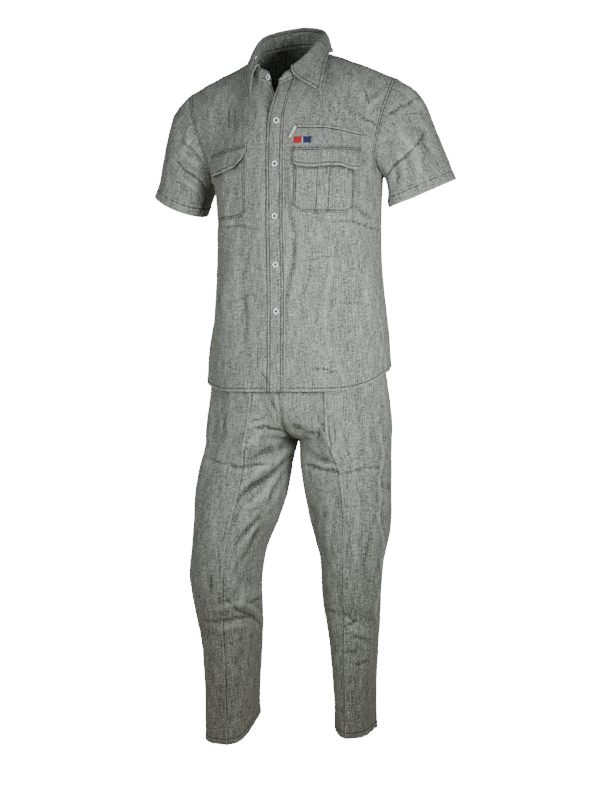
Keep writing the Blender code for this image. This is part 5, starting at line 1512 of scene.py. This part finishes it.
def studio():
    floor_mat, tree, shader = surface("pale_floor", FLOOR_COLOUR, 0.9)
    shader.inputs["Specular IOR Level"].default_value = 0.1
    shader.inputs["Emission Color"].default_value = (1, 1, 1, 1)
    seen = Field(tree, add(tree, "ShaderNodeLightPath").outputs["Is Camera Ray"])
    tree.links.new((seen * BACKDROP).socket, shader.inputs["Emission Strength"])
    half, back, rise = FLOOR_SIZE
    bend = [(back + math.sin(a), 1.0 - math.cos(a)) for a in np.linspace(0.1, math.pi / 2, 12)]
    profile = [(-half, 0.0), (back, 0.0), *bend, (back + 1.0, rise)]
    mesh = bpy.data.meshes.new("studio_floor")
    mesh.from_pydata([(x, y, FLOOR_Z + z) for y, z in profile for x in (-half, half)], [],
                     [(2 * i, 2 * i + 1, 2 * i + 3, 2 * i + 2) for i in range(len(profile) - 1)])
    mesh.shade_smooth()
    floor = new_object("studio_floor", mesh, floor_mat)
    floor.rotation_euler = (0, 0, math.radians(VIEW_DEG))
    world = bpy.context.scene.world or bpy.data.worlds.new("studio")
    bpy.context.scene.world = world
    world.use_nodes = True
    tree = world.node_tree
    background = tree.nodes["Background"]
    background.inputs["Color"].default_value = (0.97, 0.985, 1.0, 1)
    seen = Field(tree, add(tree, "ShaderNodeLightPath").outputs["Is Camera Ray"])
    tree.links.new((seen * BACKDROP + AMBIENT).socket, background.inputs["Strength"])
    for name, azimuth, distance, height, size, power, aim_z, spread_deg in LIGHTS:
        light = bpy.data.lights.new(name, "AREA")
        light.shape = "DISK"
        light.size = size
        light.energy = power
        light.spread = math.radians(spread_deg)
        obj = bpy.data.objects.new(name, light)
        a = math.radians(azimuth)
        obj.location = (distance * math.sin(a), -distance * math.cos(a), height)
        obj.rotation_euler = (Vector((0, 0, aim_z)) - obj.location).to_track_quat("-Z", "Y").to_euler()
        bpy.context.scene.collection.objects.link(obj)


def camera():
    lens = bpy.data.cameras.new("camera")
    lens.lens = LENS
    lens.shift_x = (PHOTO_WIDTH / 2 - PHOTO_MIDDLE) / PHOTO_HEIGHT
    obj = bpy.data.objects.new("camera", lens)
    a = math.radians(VIEW_DEG)
    obj.location = (CAMERA_DISTANCE * math.sin(a), -CAMERA_DISTANCE * math.cos(a), EYE_Z)
    obj.rotation_euler = (math.pi / 2, 0, a)
    bpy.context.scene.collection.objects.link(obj)
    bpy.context.scene.camera = obj


# The whole suit

def make_shirt(cloth_mat, thread):
    """The shirt with its sewing; the left and right fronts' chests come back."""
    sides = ("left", "right")
    fronts = {side: make_front(side, cloth_mat) for side in sides}
    back = make_back(cloth_mat)
    sleeves = {side: make_sleeve(side, cloth_mat) for side in sides}
    placket = make_placket(*fronts["left"], cloth_mat)
    seams = []
    for side in sides:
        seams += sewn(*fronts[side], SEWN[f"front_{side}"]) + sewn(*sleeves[side], SEWN["sleeve"])
    seams += sewn(*back, SEWN["back"]) + sewn(*placket, SEWN["placket"])
    seams += sewn(*make_stand(cloth_mat), SEWN["stand"]) + sewn(*make_fall(cloth_mat), SEWN["fall"])
    stitches("shirt_stitching", seams, thread)
    chests = {side: Chest(fronts[side][0]) for side in sides}
    patches = []
    for side, chest in chests.items():
        patches += make_pocket(side, chest, cloth_mat) + make_flap(side, chest, cloth_mat)
    stitches("pocket_stitching", patches, thread)
    return chests


def make_label(chest):
    u, v = grid(24, 10)
    points, _ = chest.lay(LABEL["from"] + (LABEL["to"] - LABEL["from"]) * u,
                          LABEL["top"] - LABEL["height"] * (1 - v), LAYER + 0.0 * u)
    cloth("label_weave", points, woven_label(), "label", thickness=0.001)


def make_trousers(cloth_mat, thread):
    seams, panels = [], []
    for side in ("left", "right"):
        for where in ("front", "back"):
            points, directions = make_leg(side, where, cloth_mat)
            seams += sewn(points, directions, SEWN["leg"])
            panels.append(points)
    tree = BVHTree.FromPolygons(*merged(panels))
    stitches("trouser_stitching", seams + [seen_on(tree, path) for path in STITCHING_SEEN], thread)
    angles, up = np.meshgrid(np.linspace(3, 359.5, 200), np.linspace(0, 1, 12))
    cloth("waistband_cloth", waist(angles, up), cloth_mat, "waistband", bright=("top",))


def make_suit():
    cloth_mat = cotton()
    thread, dark_thread = (surface(name, colour, 0.8)[0] for name, colour in THREAD_COLOURS.items())
    resin, shade, metal, brass, tape = (speckled(name, *finish) for name, finish in FINISHES.items())
    chests = make_shirt(cloth_mat, thread)
    make_zip(chests["left"], cloth_mat, tape, brass)
    make_label(chests["left"])
    make_trousers(cloth_mat, thread)
    for node in [f"button_{i}" for i in range(1, 6)] + ["button_collar"]:
        make_button(node, resin, shade, dark_thread)
    for node in ("zip_slider", "zip_pull"):
        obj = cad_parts[node]
        obj.data.materials.clear()
        obj.data.materials.append(metal)
        soft = obj.modifiers.new("soft_edges", "BEVEL")
        soft.width = 0.00025
        soft.segments = 2


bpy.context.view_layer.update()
make_suit()
camera()
studio()
